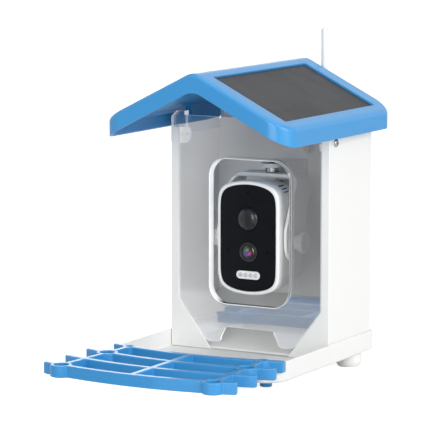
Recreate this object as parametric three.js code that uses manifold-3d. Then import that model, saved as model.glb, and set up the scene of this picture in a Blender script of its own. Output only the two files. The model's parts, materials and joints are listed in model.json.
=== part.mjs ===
// Smart bird feeder: a house with a clear hinged front, a seed tray with a clip-on perch, a lift-off
// roof with a solar panel, and a battery camera that hangs in a tilting yoke behind the window.
// Millimetres, +Z up, +X to the right of the house as seen from its front, +Y towards its back.
import * as THREE from 'three';
import { mergeVertices } from 'three/addons/utils/BufferGeometryUtils.js';
import Module from 'manifold-3d';

const wasm = await Module();
wasm.setup();

// Fits shared by every piece
const SEAT_GAP = 0.3;
const RUNNING_GAP = 0.5;
const OVERRUN = 2;

// Feet
const FOOT_HEIGHT = 13;
const REAR_FOOT_DIAMETER = 25;
const REAR_FOOT_SIDE_INSET = 14;
const REAR_FOOT_BACK_INSET = 30.6;
const FRONT_FOOT_DIAMETER = 11.4;
const FRONT_FOOT_SIDE_INSET = 37.2;
const FRONT_FOOT_INSET = 49.3;
const FRONT_FOOT_BEVEL = 0.8;

// Base tray
const BASE_HALF_WIDTH = 88.5;
const BASE_AHEAD = 110;
const BASE_BOW = 6;
const BASE_HEIGHT = 19.1;
const BASE_WALL = 2.6;
const BASE_FLOOR = 3;
const BASE_FRONT_RADIUS = 24;
const BASE_BACK_RADIUS = 8;
const BASE_BEVEL = 2.6;
const BASE_LIP_HEIGHT = 9.4;
const BASE_LIP_AHEAD = 91;
const PERCH_PEG_DIAMETER = 6;
const PERCH_PEG_RISE = 9;

// House body
const HOUSE_DEPTH = 93;
const HOUSE_WALL = 3;
const HOUSE_SIDE_HEIGHT = 214;
const HOUSE_BACK_RADIUS = 5;
const FRAME_THICKNESS = 3;
const FRAME_FLANGE = 8.4;
const FUNNEL_RISE = 46.4;
const FUNNEL_FOOT_HALF = 41.5;

// Seed ramp
const RAMP_THICKNESS = 2.2;
const RAMP_BACK_RISE = 42;
const RAMP_SAG = 7;

// Clear front panel
const PANEL_THICKNESS = 2.5;
const PANEL_OVER_WALLS = 11.7;
const PANEL_FLOOR_GAP = 8;
const NOTCH_HALF_WIDTH = 30.3;
const NOTCH_RISE = 23.5;
const NOTCH_RADIUS = 5;
const TAB_RADIUS = 6;
const WINDOW_HALF_WIDTH = 44.8;
const WINDOW_SILL = 44;
const WINDOW_HEIGHT = 144;
const WINDOW_RADIUS = 20;
const RIM_WALL = 2;
const RIM_DEPTH = 8;
const EAR_THICKNESS = 2.6;
const EAR_RADIUS = 8;
const PIVOT_BOSS_DIAMETER = 9;
const PIVOT_BACK = 12.5;
const PIVOT_DROP = 8.3;
const CORNER_BLOCK_WIDTH = 15;
const CORNER_BLOCK_DEPTH = 8;
const CORNER_BLOCK_HEIGHT = 15;
const CORNER_BLOCK_BEVEL = 6;

// Pivot screws of the front panel
const SCREW_SHANK = 3.4;
const SCREW_HOLE = 4;
const SCREW_HEAD_DIAMETER = 8;
const SCREW_HEAD_HEIGHT = 2.2;
const SCREW_SLOT_WIDTH = 1.2;
const SCREW_SLOT_DEPTH = 1;

// Perch
const PERCH_HEIGHT = 11;
const PERCH_BAR = 6.5;
const PERCH_REAR_AHEAD = 103.5;
const PERCH_REAR_HALF = 70.5;
const PERCH_LENGTH = 106;
const PERCH_FRONT_HALF = 78.5;
const PERCH_TIP_HALF = 99.3;
const PERCH_REAR_TIP_HALF = 90;
const PERCH_BOW = 8;
const PERCH_BARS = 4;
const PERCH_RING_DIAMETER = 20.5;
const PERCH_RING_HOLE = 13.5;
const PERCH_EYE_DIAMETER = 14;

// Roof
const ROOF_HALF_WIDTH = 97.3;
const ROOF_AHEAD = 108.8;
const ROOF_BEHIND = 23;
const ROOF_SLOPE_SHARE = 0.5;
const ROOF_SKIRT = 17.8;
const ROOF_DROP = 2.6;
const ROOF_WALL = 3.2;
const ROOF_TOP = 4.4;
const ROOF_RADIUS = 21;
const ROOF_EDGE = 4;
const RIDGE_ROUND = 8;
const RIB_AHEAD_CLEAR = 28;
const RIB_BACK_CLEAR = 5;
const TONGUE_THICKNESS = 3;
const TONGUE_DROP = 8;

// Solar panel
const SOLAR_RIDGE_SIDE = 12.8;
const SOLAR_EAVE_MARGIN = 11.4;
const SOLAR_FRONT_MARGIN = 19;
const SOLAR_BACK_MARGIN = 21.8;
const SOLAR_POCKET = 3.4;
const SOLAR_CELL_THICKNESS = 0.4;
const SOLAR_GLASS_THICKNESS = 0.6;
const SOLAR_GLASS_BEVEL = 0.3;
const SOLAR_CELL_INSET = 3;
const JUNCTION_LENGTH = 44;
const JUNCTION_WIDTH = 26;
const JUNCTION_HEIGHT = 9;
const JUNCTION_RADIUS = 3;

// Camera head
const CAMERA_HALF_WIDTH = 33.3;
const CAMERA_HALF_HEIGHT = 54.7;
const CAMERA_BELOW_MIDDLE = 4.4;
const CAMERA_PROUD = 2.2;
const CAMERA_WALL = 2.2;
const BEZEL_DEPTH = 14;
const BEZEL_RIM = 3.2;
const BEZEL_ROUND = 2.2;
const BEZEL_SHELF = 2;
const REAR_SHELL_DEPTH = 52;
const FACE_THICKNESS = 2.2;
const FACE_RECESS = 0.6;
const PIR_DIAMETER = 21.5;
const PIR_RISE = 18.3;
const PIR_BULGE = 4.6;
const LENS_DIAMETER = 13.5;
const LENS_RING = 2.6;
const LENS_DROP = 13.5;
const LENS_DEPTH = 9;
const LENS_BULGE = 1.6;
const LED_WINDOW_WIDTH = 25.4;
const LED_WINDOW_HEIGHT = 9.6;
const LED_WINDOW_THICKNESS = 1.2;
const LED_DROP = 35.6;
const LED_COUNT = 4;
const LED_DIAMETER = 4;
const MIC_DIAMETER = 1.6;
const MIC_SIDE = 21;
const MIC_DROP = 12.4;
const STATUS_RISE = 43.4;
const BOARD_THICKNESS = 1.6;
const BOARD_HALF_WIDTH = 25;
const BOARD_HALF_HEIGHT = 42;
const CELL_DIAMETER = 18.3;
const CELL_LENGTH = 65;
const SPEAKER_DIAMETER = 20;
const SPEAKER_HEIGHT = 5;
const GASKET_SIZE = 1;
const BUTTON_DIAMETER = 9;
const BUTTON_PROUD = 1.2;
const BUTTON_RISE = 24;
const PORT_COVER_WIDTH = 16;
const PORT_COVER_HEIGHT = 9;
const PORT_COVER_DEPTH = 1.2;
const PORT_COVER_DROP = 24;
const PORT_COVER_RADIUS = 2;
const HOLDER_WALL = 1.6;

// Yoke, knobs and hanger
const TILT_AXIS_BACK = 25.5;
const TILT_AXIS_DROP = 4.6;
const YOKE_THICKNESS = 3.2;
const YOKE_LOBE_RADIUS = 20;
const YOKE_TOP_FRONT = 36;
const YOKE_TOP_DEPTH = 22;
const YOKE_OVER_CAMERA = 3.7;
const YOKE_BEND_RADIUS = 9;
const WASHER_DIAMETER = 16;
const WASHER_THICKNESS = 0.8;
const INSERT_DIAMETER = 8;
const INSERT_LENGTH = 5;
const STUD_DIAMETER = 4.6;
const STUD_HOLE = 5.2;
const KNOB_COLLAR_DIAMETER = 14;
const KNOB_COLLAR_LENGTH = 5;
const KNOB_GRIP_DIAMETER = 21;
const KNOB_GRIP_LENGTH = 5.5;
const KNOB_HUB_DIAMETER = 9;
const KNOB_HUB_RECESS = 1.2;
const KNOB_LOBES = 8;
const KNOB_LOBE_DEPTH = 0.9;
const YOKE_STUD_DIAMETER = 6.3;
const YOKE_STUD_HOLE = 7;
const YOKE_NUT_DIAMETER = 11.5;
const YOKE_NUT_HEIGHT = 4.4;
const HANGER_HALF_WIDTH = 17;
const HANGER_THICKNESS = 4;
const HANGER_NOSE = 11;
const HANGER_FLANGE_HEIGHT = 34;
const HANGER_GUSSET = 22;
const HANGER_SCREW_SIDE = 10;
const HANGER_SCREW_DROP = 9;

// Antenna
const ANTENNA_SIDE = 18.7;
const ANTENNA_DROP = 24.3;
const ANTENNA_CLEARANCE = 0.7;
const ANTENNA_LENGTH = 116;
const ANTENNA_ROOT_DIAMETER = 7.6;
const ANTENNA_TIP_DIAMETER = 6.4;
const BARREL_DIAMETER = 6.2;
const BARREL_HOLE = 6.8;
const BARREL_FLANGE_DIAMETER = 11;
const BARREL_FLANGE_THICKNESS = 1.5;
const BARREL_REACH = 8;
const ANTENNA_NUT_FLATS = 9;
const ANTENNA_NUT_HEIGHT = 2.5;
const KNUCKLE_DIAMETER = 11;
const KNUCKLE_TONGUE = 4.8;
const KNUCKLE_PIN_DIAMETER = 2.4;

// Heights and places that follow from the sizes above
const baseBottom = FOOT_HEIGHT;
const floorTop = baseBottom + BASE_FLOOR;
const baseTop = baseBottom + BASE_HEIGHT;
const houseBottom = floorTop + SEAT_GAP;
const houseTop = houseBottom + HOUSE_SIDE_HEIGHT;
const houseHalf = BASE_HALF_WIDTH - BASE_WALL - RUNNING_GAP;
const houseInner = houseHalf - HOUSE_WALL;
const baseBack = HOUSE_DEPTH + SEAT_GAP + BASE_WALL;
const rearFootSide = BASE_HALF_WIDTH - REAR_FOOT_SIDE_INSET;
const rearFootBack = baseBack - REAR_FOOT_BACK_INSET;
const frontFootSide = BASE_HALF_WIDTH - FRONT_FOOT_SIDE_INSET;
const frontFootAhead = BASE_AHEAD - FRONT_FOOT_INSET;
const funnelHalf = houseHalf - FRAME_FLANGE;
const panelHalf = funnelHalf - RUNNING_GAP;
const panelBottom = floorTop + PANEL_FLOOR_GAP;
const perchBottom = baseBottom + BASE_LIP_HEIGHT + RUNNING_GAP;
const ridgeTop = houseTop - ROOF_DROP + ROOF_SKIRT + ROOF_HALF_WIDTH * ROOF_SLOPE_SHARE;
const roofBack = HOUSE_DEPTH + ROOF_BEHIND;
const roofAngle = Math.atan(ROOF_SLOPE_SHARE);
const pivotHeight = houseTop - PIVOT_DROP;
const windowMiddle = floorTop + WINDOW_SILL + WINDOW_HEIGHT / 2;
const cameraCentre = windowMiddle - CAMERA_BELOW_MIDDLE;
const tiltHeight = cameraCentre - TILT_AXIS_DROP;
const armInner = CAMERA_HALF_WIDTH + WASHER_THICKNESS + SEAT_GAP;
const yokeTop = cameraCentre + CAMERA_HALF_HEIGHT + YOKE_OVER_CAMERA;
const swivelBack = YOKE_TOP_FRONT + YOKE_TOP_DEPTH / 2;
const hangerBottom = yokeTop + YOKE_NUT_HEIGHT + 2 * SEAT_GAP;
const antennaHeight = houseTop - ANTENNA_DROP;
const antennaBack = roofBack + ANTENNA_CLEARANCE + ANTENNA_ROOT_DIAMETER / 2;

// Finishes
const FINISHES = {
  whitePlastic: { color: 0xf4f4f2, roughness: 0.45, metalness: 0 },
  bluePlastic: { color: 0x4a9ddb, roughness: 0.4, metalness: 0 },
  clearPlastic: { color: 0xd9dcde, roughness: 0.1, metalness: 0, transparent: true, opacity: 0.35 },
  glossBlack: { color: 0x141416, roughness: 0.1, metalness: 0 },
  smokeDome: { color: 0x2a2b2e, roughness: 0.15, metalness: 0 },
  blackPlastic: { color: 0x1d1d1f, roughness: 0.5, metalness: 0 },
  lensGlass: { color: 0x3a2450, roughness: 0.03, metalness: 0 },
  ledWindow: { color: 0xb9bcc0, roughness: 0.3, metalness: 0 },
  led: { color: 0xf2f0e6, roughness: 0.25, metalness: 0 },
  solarGlass: { color: 0x55565b, roughness: 0.25, metalness: 0 },
  solarCell: { color: 0x2a2c33, roughness: 0.35, metalness: 0.2 },
  board: { color: 0x1d5a34, roughness: 0.6, metalness: 0 },
  batteryWrap: { color: 0x2f62a8, roughness: 0.5, metalness: 0 },
  rubber: { color: 0x2c2c2e, roughness: 0.85, metalness: 0 },
  greyRubber: { color: 0xc9cacb, roughness: 0.8, metalness: 0 },
  chrome: { color: 0xd6d8da, roughness: 0.12, metalness: 1 },
  brass: { color: 0xb88d3c, roughness: 0.3, metalness: 1 },
};

/** Adds one named piece to a group. */
function addPiece(group, name, geometry, finish) {
  const piece = new THREE.Mesh(geometry, new THREE.MeshStandardMaterial(FINISHES[finish]));
  piece.name = name;
  group.add(piece);
  return piece;
}

/** Six times the enclosed volume: negative when the faces look inwards. */
function signedVolume(position, index) {
  const [a, b, c] = [new THREE.Vector3(), new THREE.Vector3(), new THREE.Vector3()];
  let total = 0;
  for (let i = 0; i < index.length; i += 3) {
    a.fromBufferAttribute(position, index[i]);
    b.fromBufferAttribute(position, index[i + 1]);
    c.fromBufferAttribute(position, index[i + 2]);
    total += a.dot(b.cross(c));
  }
  return total;
}

/** Merges shared corners, drops empty triangles and turns every face outwards. */
function weld(source) {
  const bare = source.clone();
  bare.deleteAttribute('normal');
  bare.deleteAttribute('uv');
  const merged = mergeVertices(bare, 1e-4);
  const corners = merged.index.array;
  const index = [];
  for (let i = 0; i < corners.length; i += 3) {
    const [a, b, c] = [corners[i], corners[i + 1], corners[i + 2]];
    if (a !== b && b !== c && c !== a) index.push(a, b, c);
  }
  if (signedVolume(merged.getAttribute('position'), index) < 0) index.reverse();
  const closed = new THREE.BufferGeometry();
  closed.setAttribute('position', merged.getAttribute('position'));
  closed.setIndex(index);
  closed.computeVertexNormals();
  return closed;
}

/** A solid for joining and cutting, from a closed geometry. */
function solid(geometry) {
  const closed = weld(geometry);
  return new wasm.Manifold(new wasm.Mesh({
    numProp: 3,
    vertProperties: new Float32Array(closed.getAttribute('position').array),
    triVerts: new Uint32Array(closed.index.array),
  }));
}

/** The geometry of a joined or cut solid. */
function shape(body) {
  const mesh = body.getMesh();
  const geometry = new THREE.BufferGeometry();
  geometry.setAttribute('position', new THREE.BufferAttribute(mesh.vertProperties, 3));
  geometry.setIndex(new THREE.BufferAttribute(mesh.triVerts, 1));
  return weld(geometry);
}

/** Joins geometries into one solid. */
function join(...geometries) {
  return geometries.map(solid).reduce((whole, next) => whole.add(next));
}

/** Cuts geometries out of a solid. */
function cut(body, ...geometries) {
  return geometries.reduce((rest, tool) => rest.subtract(solid(tool)), body);
}

/** An outline of [x, y] points as a shape. */
function outline(points) {
  return new THREE.Shape(points.map(([x, y]) => new THREE.Vector2(x, y)));
}

/** An outline drawn in X and Y, raised from height z. */
function standing(profile, z, height, curveSegments = 8) {
  const geometry = new THREE.ExtrudeGeometry(profile, { depth: height, bevelEnabled: false, curveSegments });
  return geometry.translate(0, 0, z);
}

/** An outline drawn in X and Z, as thick as depth behind y. */
function facing(profile, y, depth, curveSegments = 8) {
  const geometry = new THREE.ExtrudeGeometry(profile, { depth, bevelEnabled: false, curveSegments });
  return geometry.rotateX(Math.PI / 2).translate(0, y + depth, 0);
}

/** An outline drawn in Y and Z, as wide as width beyond x. */
function sideways(profile, x, width, curveSegments = 8) {
  const geometry = new THREE.ExtrudeGeometry(profile, { depth: width, bevelEnabled: false, curveSegments });
  const turn = new THREE.Matrix4().makeBasis(
    new THREE.Vector3(0, 1, 0), new THREE.Vector3(0, 0, 1), new THREE.Vector3(1, 0, 0));
  return geometry.applyMatrix4(turn).translate(x, 0, 0);
}

/** A block between two corners. */
function block(x0, x1, y0, y1, z0, z1) {
  const geometry = new THREE.BoxGeometry(x1 - x0, y1 - y0, z1 - z0);
  return geometry.translate((x0 + x1) / 2, (y0 + y1) / 2, (z0 + z1) / 2);
}

/** A profile of [radius, height] points turned about Z. */
function turned(profile, segments = 24) {
  const points = profile.map(([radius, height]) => new THREE.Vector2(radius, height));
  return new THREE.LatheGeometry(points, segments).rotateX(Math.PI / 2);
}

/** A turned profile laid along X, its height running to +X. */
function turnedAlongX(profile, segments = 24) {
  return turned(profile, segments).rotateY(Math.PI / 2);
}

/** A turned profile laid along Y, its height running to +Y. */
function turnedAlongY(profile, segments = 24) {
  return turned(profile, segments).rotateX(-Math.PI / 2);
}

/** The profile of a plain rod. */
function rod(diameter, from, to) {
  return [[0, from], [diameter / 2, from], [diameter / 2, to], [0, to]];
}

/** The profile of a plain ring. */
function ring(outer, inner, from, to) {
  return [[inner / 2, from], [outer / 2, from], [outer / 2, to], [inner / 2, to], [inner / 2, from]];
}

/** Corner points of a rectangle with round corners, anticlockwise. */
function roundedRectangle(halfWidth, halfHeight, radius, steps = 6) {
  const points = [];
  const corners = [[1, 1], [-1, 1], [-1, -1], [1, -1]];
  corners.forEach(([sideX, sideY], quarter) => {
    for (let step = 0; step <= steps; step += 1) {
      const angle = (quarter + step / steps) * Math.PI / 2;
      points.push([
        sideX * (halfWidth - radius) + radius * Math.cos(angle),
        sideY * (halfHeight - radius) + radius * Math.sin(angle),
      ]);
    }
  });
  return points;
}

/** A straight slot or pill outline with full round ends. */
function pill(width, height, steps = 6) {
  return roundedRectangle(width / 2, height / 2, Math.min(width, height) / 2 * 0.999, steps);
}

/** Moves every point of an outline. */
function shifted(points, dx, dy) {
  return points.map(([x, y]) => [x + dx, y + dy]);
}

/** Triangles of a flat cap over one ring, by corner number. */
function flatCap(points, flatten) {
  return THREE.ShapeUtils.triangulateShape(points.map(flatten), []);
}

/** Triangles of a cap whose ring runs out along one side and back along the other. */
function stripCap(points) {
  const last = points.length - 1;
  const faces = [];
  for (let i = 0; i < points.length / 2 - 1; i += 1) {
    faces.push([i, i + 1, last - i - 1], [i, last - i - 1, last - i]);
  }
  return faces;
}

/** Triangles of a level cap. */
function levelCap(points) {
  return flatCap(points, (p) => new THREE.Vector2(p.x, p.y));
}

/** A closed skin through rings of equal count; caps close its ends unless the rings form a loop. */
function skin(rings, { loop = false, cap = levelCap }) {
  const count = rings[0].length;
  const index = [];
  const bands = loop ? rings.length : rings.length - 1;
  for (let band = 0; band < bands; band += 1) {
    const near = band * count;
    const far = ((band + 1) % rings.length) * count;
    for (let i = 0; i < count; i += 1) {
      const next = (i + 1) % count;
      index.push(near + i, near + next, far + next, near + i, far + next, far + i);
    }
  }
  if (!loop) {
    const end = (rings.length - 1) * count;
    for (const [a, b, c] of cap(rings[0])) index.push(a, c, b);
    for (const [a, b, c] of cap(rings[rings.length - 1])) index.push(end + a, end + b, end + c);
  }
  const geometry = new THREE.BufferGeometry().setFromPoints(rings.flat());
  geometry.setIndex(index);
  return weld(geometry);
}

/** Base outline at one inset and height: a bowed front with large corners and a straight back. */
function baseRing(inset, z) {
  const points = [];
  const steps = 6;
  const corners = [
    [-1, BASE_FRONT_RADIUS, -BASE_AHEAD + BASE_FRONT_RADIUS, 2],
    [1, BASE_FRONT_RADIUS, -BASE_AHEAD + BASE_FRONT_RADIUS, 3],
    [1, BASE_BACK_RADIUS, baseBack - BASE_BACK_RADIUS, 0],
    [-1, BASE_BACK_RADIUS, baseBack - BASE_BACK_RADIUS, 1],
  ];
  corners.forEach(([side, radius, centre, quarter], number) => {
    const middle = side * (BASE_HALF_WIDTH - radius);
    for (let step = 0; step <= steps; step += 1) {
      const angle = (quarter + step / steps) * Math.PI / 2;
      const reach = radius - inset;
      points.push(new THREE.Vector3(middle + reach * Math.cos(angle), centre + reach * Math.sin(angle), z));
    }
    if (number === 0) points.push(...bowedFront(inset, z));
  });
  return points;
}

/** Points of the base's bowed front edge between its two corners. */
function bowedFront(inset, z) {
  const straight = BASE_HALF_WIDTH - BASE_FRONT_RADIUS;
  const points = [];
  const steps = 8;
  for (let step = 1; step < steps; step += 1) {
    const share = 2 * step / steps - 1;
    const bow = BASE_BOW * (1 - share * share);
    points.push(new THREE.Vector3(share * straight, -BASE_AHEAD - bow + inset, z));
  }
  return points;
}

/** Tray with a rounded lower edge, a low lip where the perch lies, and two pegs for the perch's eyes. */
function makeBaseTray(group) {
  const shell = skin([
    baseRing(BASE_WALL, floorTop),
    baseRing(BASE_WALL, baseTop),
    baseRing(0, baseTop),
    baseRing(0, baseBottom + BASE_BEVEL),
    baseRing(BASE_BEVEL * 0.3, baseBottom + BASE_BEVEL * 0.3),
    baseRing(BASE_BEVEL, baseBottom),
  ], {});
  const wide = BASE_HALF_WIDTH + OVERRUN;
  const lipTop = baseBottom + BASE_LIP_HEIGHT;
  const front = -BASE_AHEAD - BASE_BOW - OVERRUN;
  const clearance = block(-wide, wide, front, -BASE_LIP_AHEAD, lipTop, baseTop + OVERRUN);
  let tray = cut(solid(shell), clearance);
  for (const side of [-1, 1]) {
    const peg = turned([
      [0, floorTop - BASE_FLOOR / 2],
      [PERCH_EYE_DIAMETER / 2, floorTop - BASE_FLOOR / 2],
      [PERCH_EYE_DIAMETER / 2, perchBottom - SEAT_GAP],
      [PERCH_PEG_DIAMETER / 2, perchBottom - SEAT_GAP],
      [PERCH_PEG_DIAMETER / 2, perchBottom + PERCH_PEG_RISE],
      [0, perchBottom + PERCH_PEG_RISE],
    ], 16);
    tray = tray.add(solid(peg.translate(side * PERCH_REAR_HALF, -PERCH_REAR_AHEAD, 0)));
  }
  addPiece(group, 'base_tray', shape(tray), 'whitePlastic');
}

/** Two round rear feet and two slim front feet, all down to the same level. */
function makeFeet(group) {
  const top = FOOT_HEIGHT - SEAT_GAP;
  const rear = REAR_FOOT_DIAMETER / 2;
  const rearProfile = [
    [0, 0], [rear * 0.68, 0], [rear * 0.87, top * 0.1], [rear * 0.97, top * 0.3],
    [rear, top * 0.55], [rear, top], [0, top],
  ];
  const front = FRONT_FOOT_DIAMETER / 2;
  const frontProfile = [
    [0, 0], [front - FRONT_FOOT_BEVEL, 0], [front, FRONT_FOOT_BEVEL], [front, top], [0, top],
  ];
  for (const [side, word] of [[-1, 'left'], [1, 'right']]) {
    const back = turned(rearProfile).translate(side * rearFootSide, rearFootBack, 0);
    addPiece(group, `rear_foot_${word}`, weld(back), 'whitePlastic');
    const ahead = turned(frontProfile, 20).translate(side * frontFootSide, -frontFootAhead, 0);
    addPiece(group, `front_foot_${word}`, weld(ahead), 'bluePlastic');
  }
}

/** Height of the roof's upper surface over one place across the house. */
function gableHeight(x) {
  const across = Math.abs(x);
  if (across >= RIDGE_ROUND) return ridgeTop - ROOF_SLOPE_SHARE * across;
  return ridgeTop - ROOF_SLOPE_SHARE * (across * across / RIDGE_ROUND + RIDGE_ROUND) / 2;
}

/** Three walls in plan, with round back corners. */
function makeWallsPlan() {
  const outer = houseHalf;
  const inner = houseInner;
  const radius = HOUSE_BACK_RADIUS;
  const plan = new THREE.Shape();
  plan.moveTo(-outer, 0);
  plan.lineTo(-inner, 0);
  plan.lineTo(-inner, HOUSE_DEPTH - HOUSE_WALL);
  plan.lineTo(inner, HOUSE_DEPTH - HOUSE_WALL);
  plan.lineTo(inner, 0);
  plan.lineTo(outer, 0);
  plan.absarc(outer - radius, HOUSE_DEPTH - radius, radius, 0, Math.PI / 2, false);
  plan.absarc(-outer + radius, HOUSE_DEPTH - radius, radius, Math.PI / 2, Math.PI, false);
  return plan;
}

/** The back wall's gable, up to just under the roof. */
function makeBackGable() {
  const under = ROOF_TOP / Math.cos(roofAngle) + RUNNING_GAP;
  const wide = houseHalf - HOUSE_BACK_RADIUS;
  return outline([
    [-wide, houseTop - HOUSE_WALL], [wide, houseTop - HOUSE_WALL],
    [wide, gableHeight(wide) - under], [RIDGE_ROUND, gableHeight(RIDGE_ROUND) - under],
    [-RIDGE_ROUND, gableHeight(RIDGE_ROUND) - under], [-wide, gableHeight(wide) - under],
  ]);
}

/** One side of the front frame: a flange that widens to the foot of the funnel. */
function makeFrameSide(side) {
  return outline([
    [side * houseHalf, houseBottom], [side * houseHalf, houseTop], [side * funnelHalf, houseTop],
    [side * funnelHalf, floorTop + FUNNEL_RISE], [side * FUNNEL_FOOT_HALF, houseBottom],
  ]);
}

/** House body: side walls, back wall with its gable, and the funnel-shaped front frame. */
function makeHouseBody(group) {
  const walls = standing(makeWallsPlan(), houseBottom, HOUSE_SIDE_HEIGHT, 5);
  const gable = facing(makeBackGable(), HOUSE_DEPTH - HOUSE_WALL, HOUSE_WALL);
  const sides = [-1, 1].map((side) => facing(makeFrameSide(side), 0, FRAME_THICKNESS));
  const wide = 2 * (houseHalf + OVERRUN);
  const pivotHoles = turnedAlongX(rod(SCREW_HOLE, -wide / 2, wide / 2), 16);
  pivotHoles.translate(0, PIVOT_BACK, pivotHeight);
  const wallFace = HOUSE_DEPTH - HOUSE_WALL - OVERRUN;
  const through = HOUSE_WALL + 2 * OVERRUN;
  const antennaHole = turnedAlongY(rod(BARREL_HOLE, 0, through), 20);
  antennaHole.translate(ANTENNA_SIDE, wallFace, antennaHeight);
  const screwHoles = hangerScrewPlaces().map(([x, z]) => (
    turnedAlongY(rod(SCREW_HOLE, 0, through), 12).translate(x, wallFace, z)));
  const body = cut(join(walls, gable, ...sides), pivotHoles, antennaHole, ...screwHoles);
  addPiece(group, 'house_body', shape(body), 'whitePlastic');
}

/** Curved chute that carries the seed from the back wall down to the notch. */
function makeSeedRamp(group) {
  const front = FRAME_THICKNESS + RUNNING_GAP;
  const back = HOUSE_DEPTH - HOUSE_WALL - SEAT_GAP;
  const low = floorTop + SEAT_GAP;
  const high = low + RAMP_BACK_RISE;
  const steps = 10;
  const upper = [];
  for (let step = 0; step <= steps; step += 1) {
    const share = step / steps;
    const sag = RAMP_SAG * 4 * share * (1 - share) * (1 - share / 2);
    upper.push([front + (back - front) * share, low + RAMP_THICKNESS + (high - low) * share - sag * share]);
  }
  const lower = upper.map(([y, z]) => [y, Math.max(z - RAMP_THICKNESS, low)]).reverse();
  const width = 2 * (houseInner - SEAT_GAP);
  const chute = sideways(outline([...upper, ...lower]), -width / 2, width);
  addPiece(group, 'seed_ramp', weld(chute), 'whitePlastic');
}

/** Outline of the clear panel: funnel sides, two round tabs and the seed notch between them. */
function makePanelOutline() {
  const top = houseTop + PANEL_OVER_WALLS;
  const slope = (funnelHalf - FUNNEL_FOOT_HALF) / (FUNNEL_RISE - SEAT_GAP);
  const bendHeight = floorTop + FUNNEL_RISE;
  const tabOuter = panelHalf - slope * (bendHeight - panelBottom);
  const tabInner = NOTCH_HALF_WIDTH;
  const notchTop = floorTop + NOTCH_RISE;
  const plan = new THREE.Shape();
  plan.moveTo(-panelHalf, top);
  plan.lineTo(-panelHalf, bendHeight);
  plan.lineTo(-tabOuter - slope * TAB_RADIUS, panelBottom + TAB_RADIUS);
  plan.quadraticCurveTo(-tabOuter, panelBottom, -tabOuter + TAB_RADIUS / 2, panelBottom);
  plan.lineTo(-tabInner - TAB_RADIUS, panelBottom);
  plan.quadraticCurveTo(-tabInner, panelBottom, -tabInner, panelBottom + TAB_RADIUS);
  plan.lineTo(-tabInner, notchTop - NOTCH_RADIUS);
  plan.quadraticCurveTo(-tabInner, notchTop, -tabInner + NOTCH_RADIUS, notchTop);
  plan.lineTo(tabInner - NOTCH_RADIUS, notchTop);
  plan.quadraticCurveTo(tabInner, notchTop, tabInner, notchTop - NOTCH_RADIUS);
  plan.lineTo(tabInner, panelBottom + TAB_RADIUS);
  plan.quadraticCurveTo(tabInner, panelBottom, tabInner + TAB_RADIUS, panelBottom);
  plan.lineTo(tabOuter - TAB_RADIUS / 2, panelBottom);
  plan.quadraticCurveTo(tabOuter, panelBottom, tabOuter + slope * TAB_RADIUS, panelBottom + TAB_RADIUS);
  plan.lineTo(panelHalf, bendHeight);
  plan.lineTo(panelHalf, top);
  return plan;
}

/** One hinge ear of the clear panel with its pin boss, on the left (-1) or the right (1). */
function makeEar(side) {
  const ear = new THREE.Shape();
  ear.moveTo(SEAT_GAP, pivotHeight - EAR_RADIUS);
  ear.lineTo(PIVOT_BACK, pivotHeight - EAR_RADIUS);
  ear.absarc(PIVOT_BACK, pivotHeight, EAR_RADIUS, -Math.PI / 2, Math.PI / 2, false);
  ear.lineTo(SEAT_GAP, pivotHeight + EAR_RADIUS);
  const inside = panelHalf - EAR_THICKNESS;
  const plate = sideways(ear, side > 0 ? inside : -panelHalf, EAR_THICKNESS, 6);
  const reach = houseInner - SEAT_GAP - inside;
  const boss = turnedAlongX(rod(PIVOT_BOSS_DIAMETER, 0, reach), 16);
  boss.translate(side > 0 ? inside : -inside - reach, PIVOT_BACK, pivotHeight);
  return join(plate, boss);
}

/** One thick corner block of the clear panel, over the top of a side wall. */
function makeCornerBlock(side) {
  const outer = houseHalf;
  const inner = outer - CORNER_BLOCK_WIDTH;
  const low = houseTop + RUNNING_GAP;
  const high = low + CORNER_BLOCK_HEIGHT;
  const plan = outline([
    [side * inner, low], [side * outer, low], [side * outer, high - CORNER_BLOCK_BEVEL],
    [side * (outer - CORNER_BLOCK_BEVEL), high], [side * inner, high],
  ]);
  return facing(plan, SEAT_GAP, CORNER_BLOCK_DEPTH);
}

/** Clear front panel with the camera window, its rim, the hinge ears and the corner blocks. */
function makeFrontWindow(group) {
  const sheet = facing(makePanelOutline(), SEAT_GAP, PANEL_THICKNESS, 5);
  const high = WINDOW_HEIGHT / 2;
  const outer = roundedRectangle(WINDOW_HALF_WIDTH, high, WINDOW_RADIUS);
  const inner = roundedRectangle(WINDOW_HALF_WIDTH - RIM_WALL, high - RIM_WALL, WINDOW_RADIUS - RIM_WALL);
  const rim = facing(outline(shifted(outer, 0, windowMiddle)), SEAT_GAP, RIM_DEPTH);
  const openingPlan = outline(shifted(inner, 0, windowMiddle));
  const opening = facing(openingPlan, SEAT_GAP - OVERRUN, RIM_DEPTH + 2 * OVERRUN);
  const pinWidth = 2 * (houseHalf + OVERRUN);
  const pinBore = turnedAlongX(rod(SCREW_HOLE, -pinWidth / 2, pinWidth / 2), 16);
  pinBore.translate(0, PIVOT_BACK, pivotHeight);
  let panel = join(sheet, rim, makeCornerBlock(-1), makeCornerBlock(1));
  panel = panel.add(makeEar(-1)).add(makeEar(1));
  addPiece(group, 'front_window', shape(cut(panel, opening, pinBore)), 'clearPlastic');
}

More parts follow.
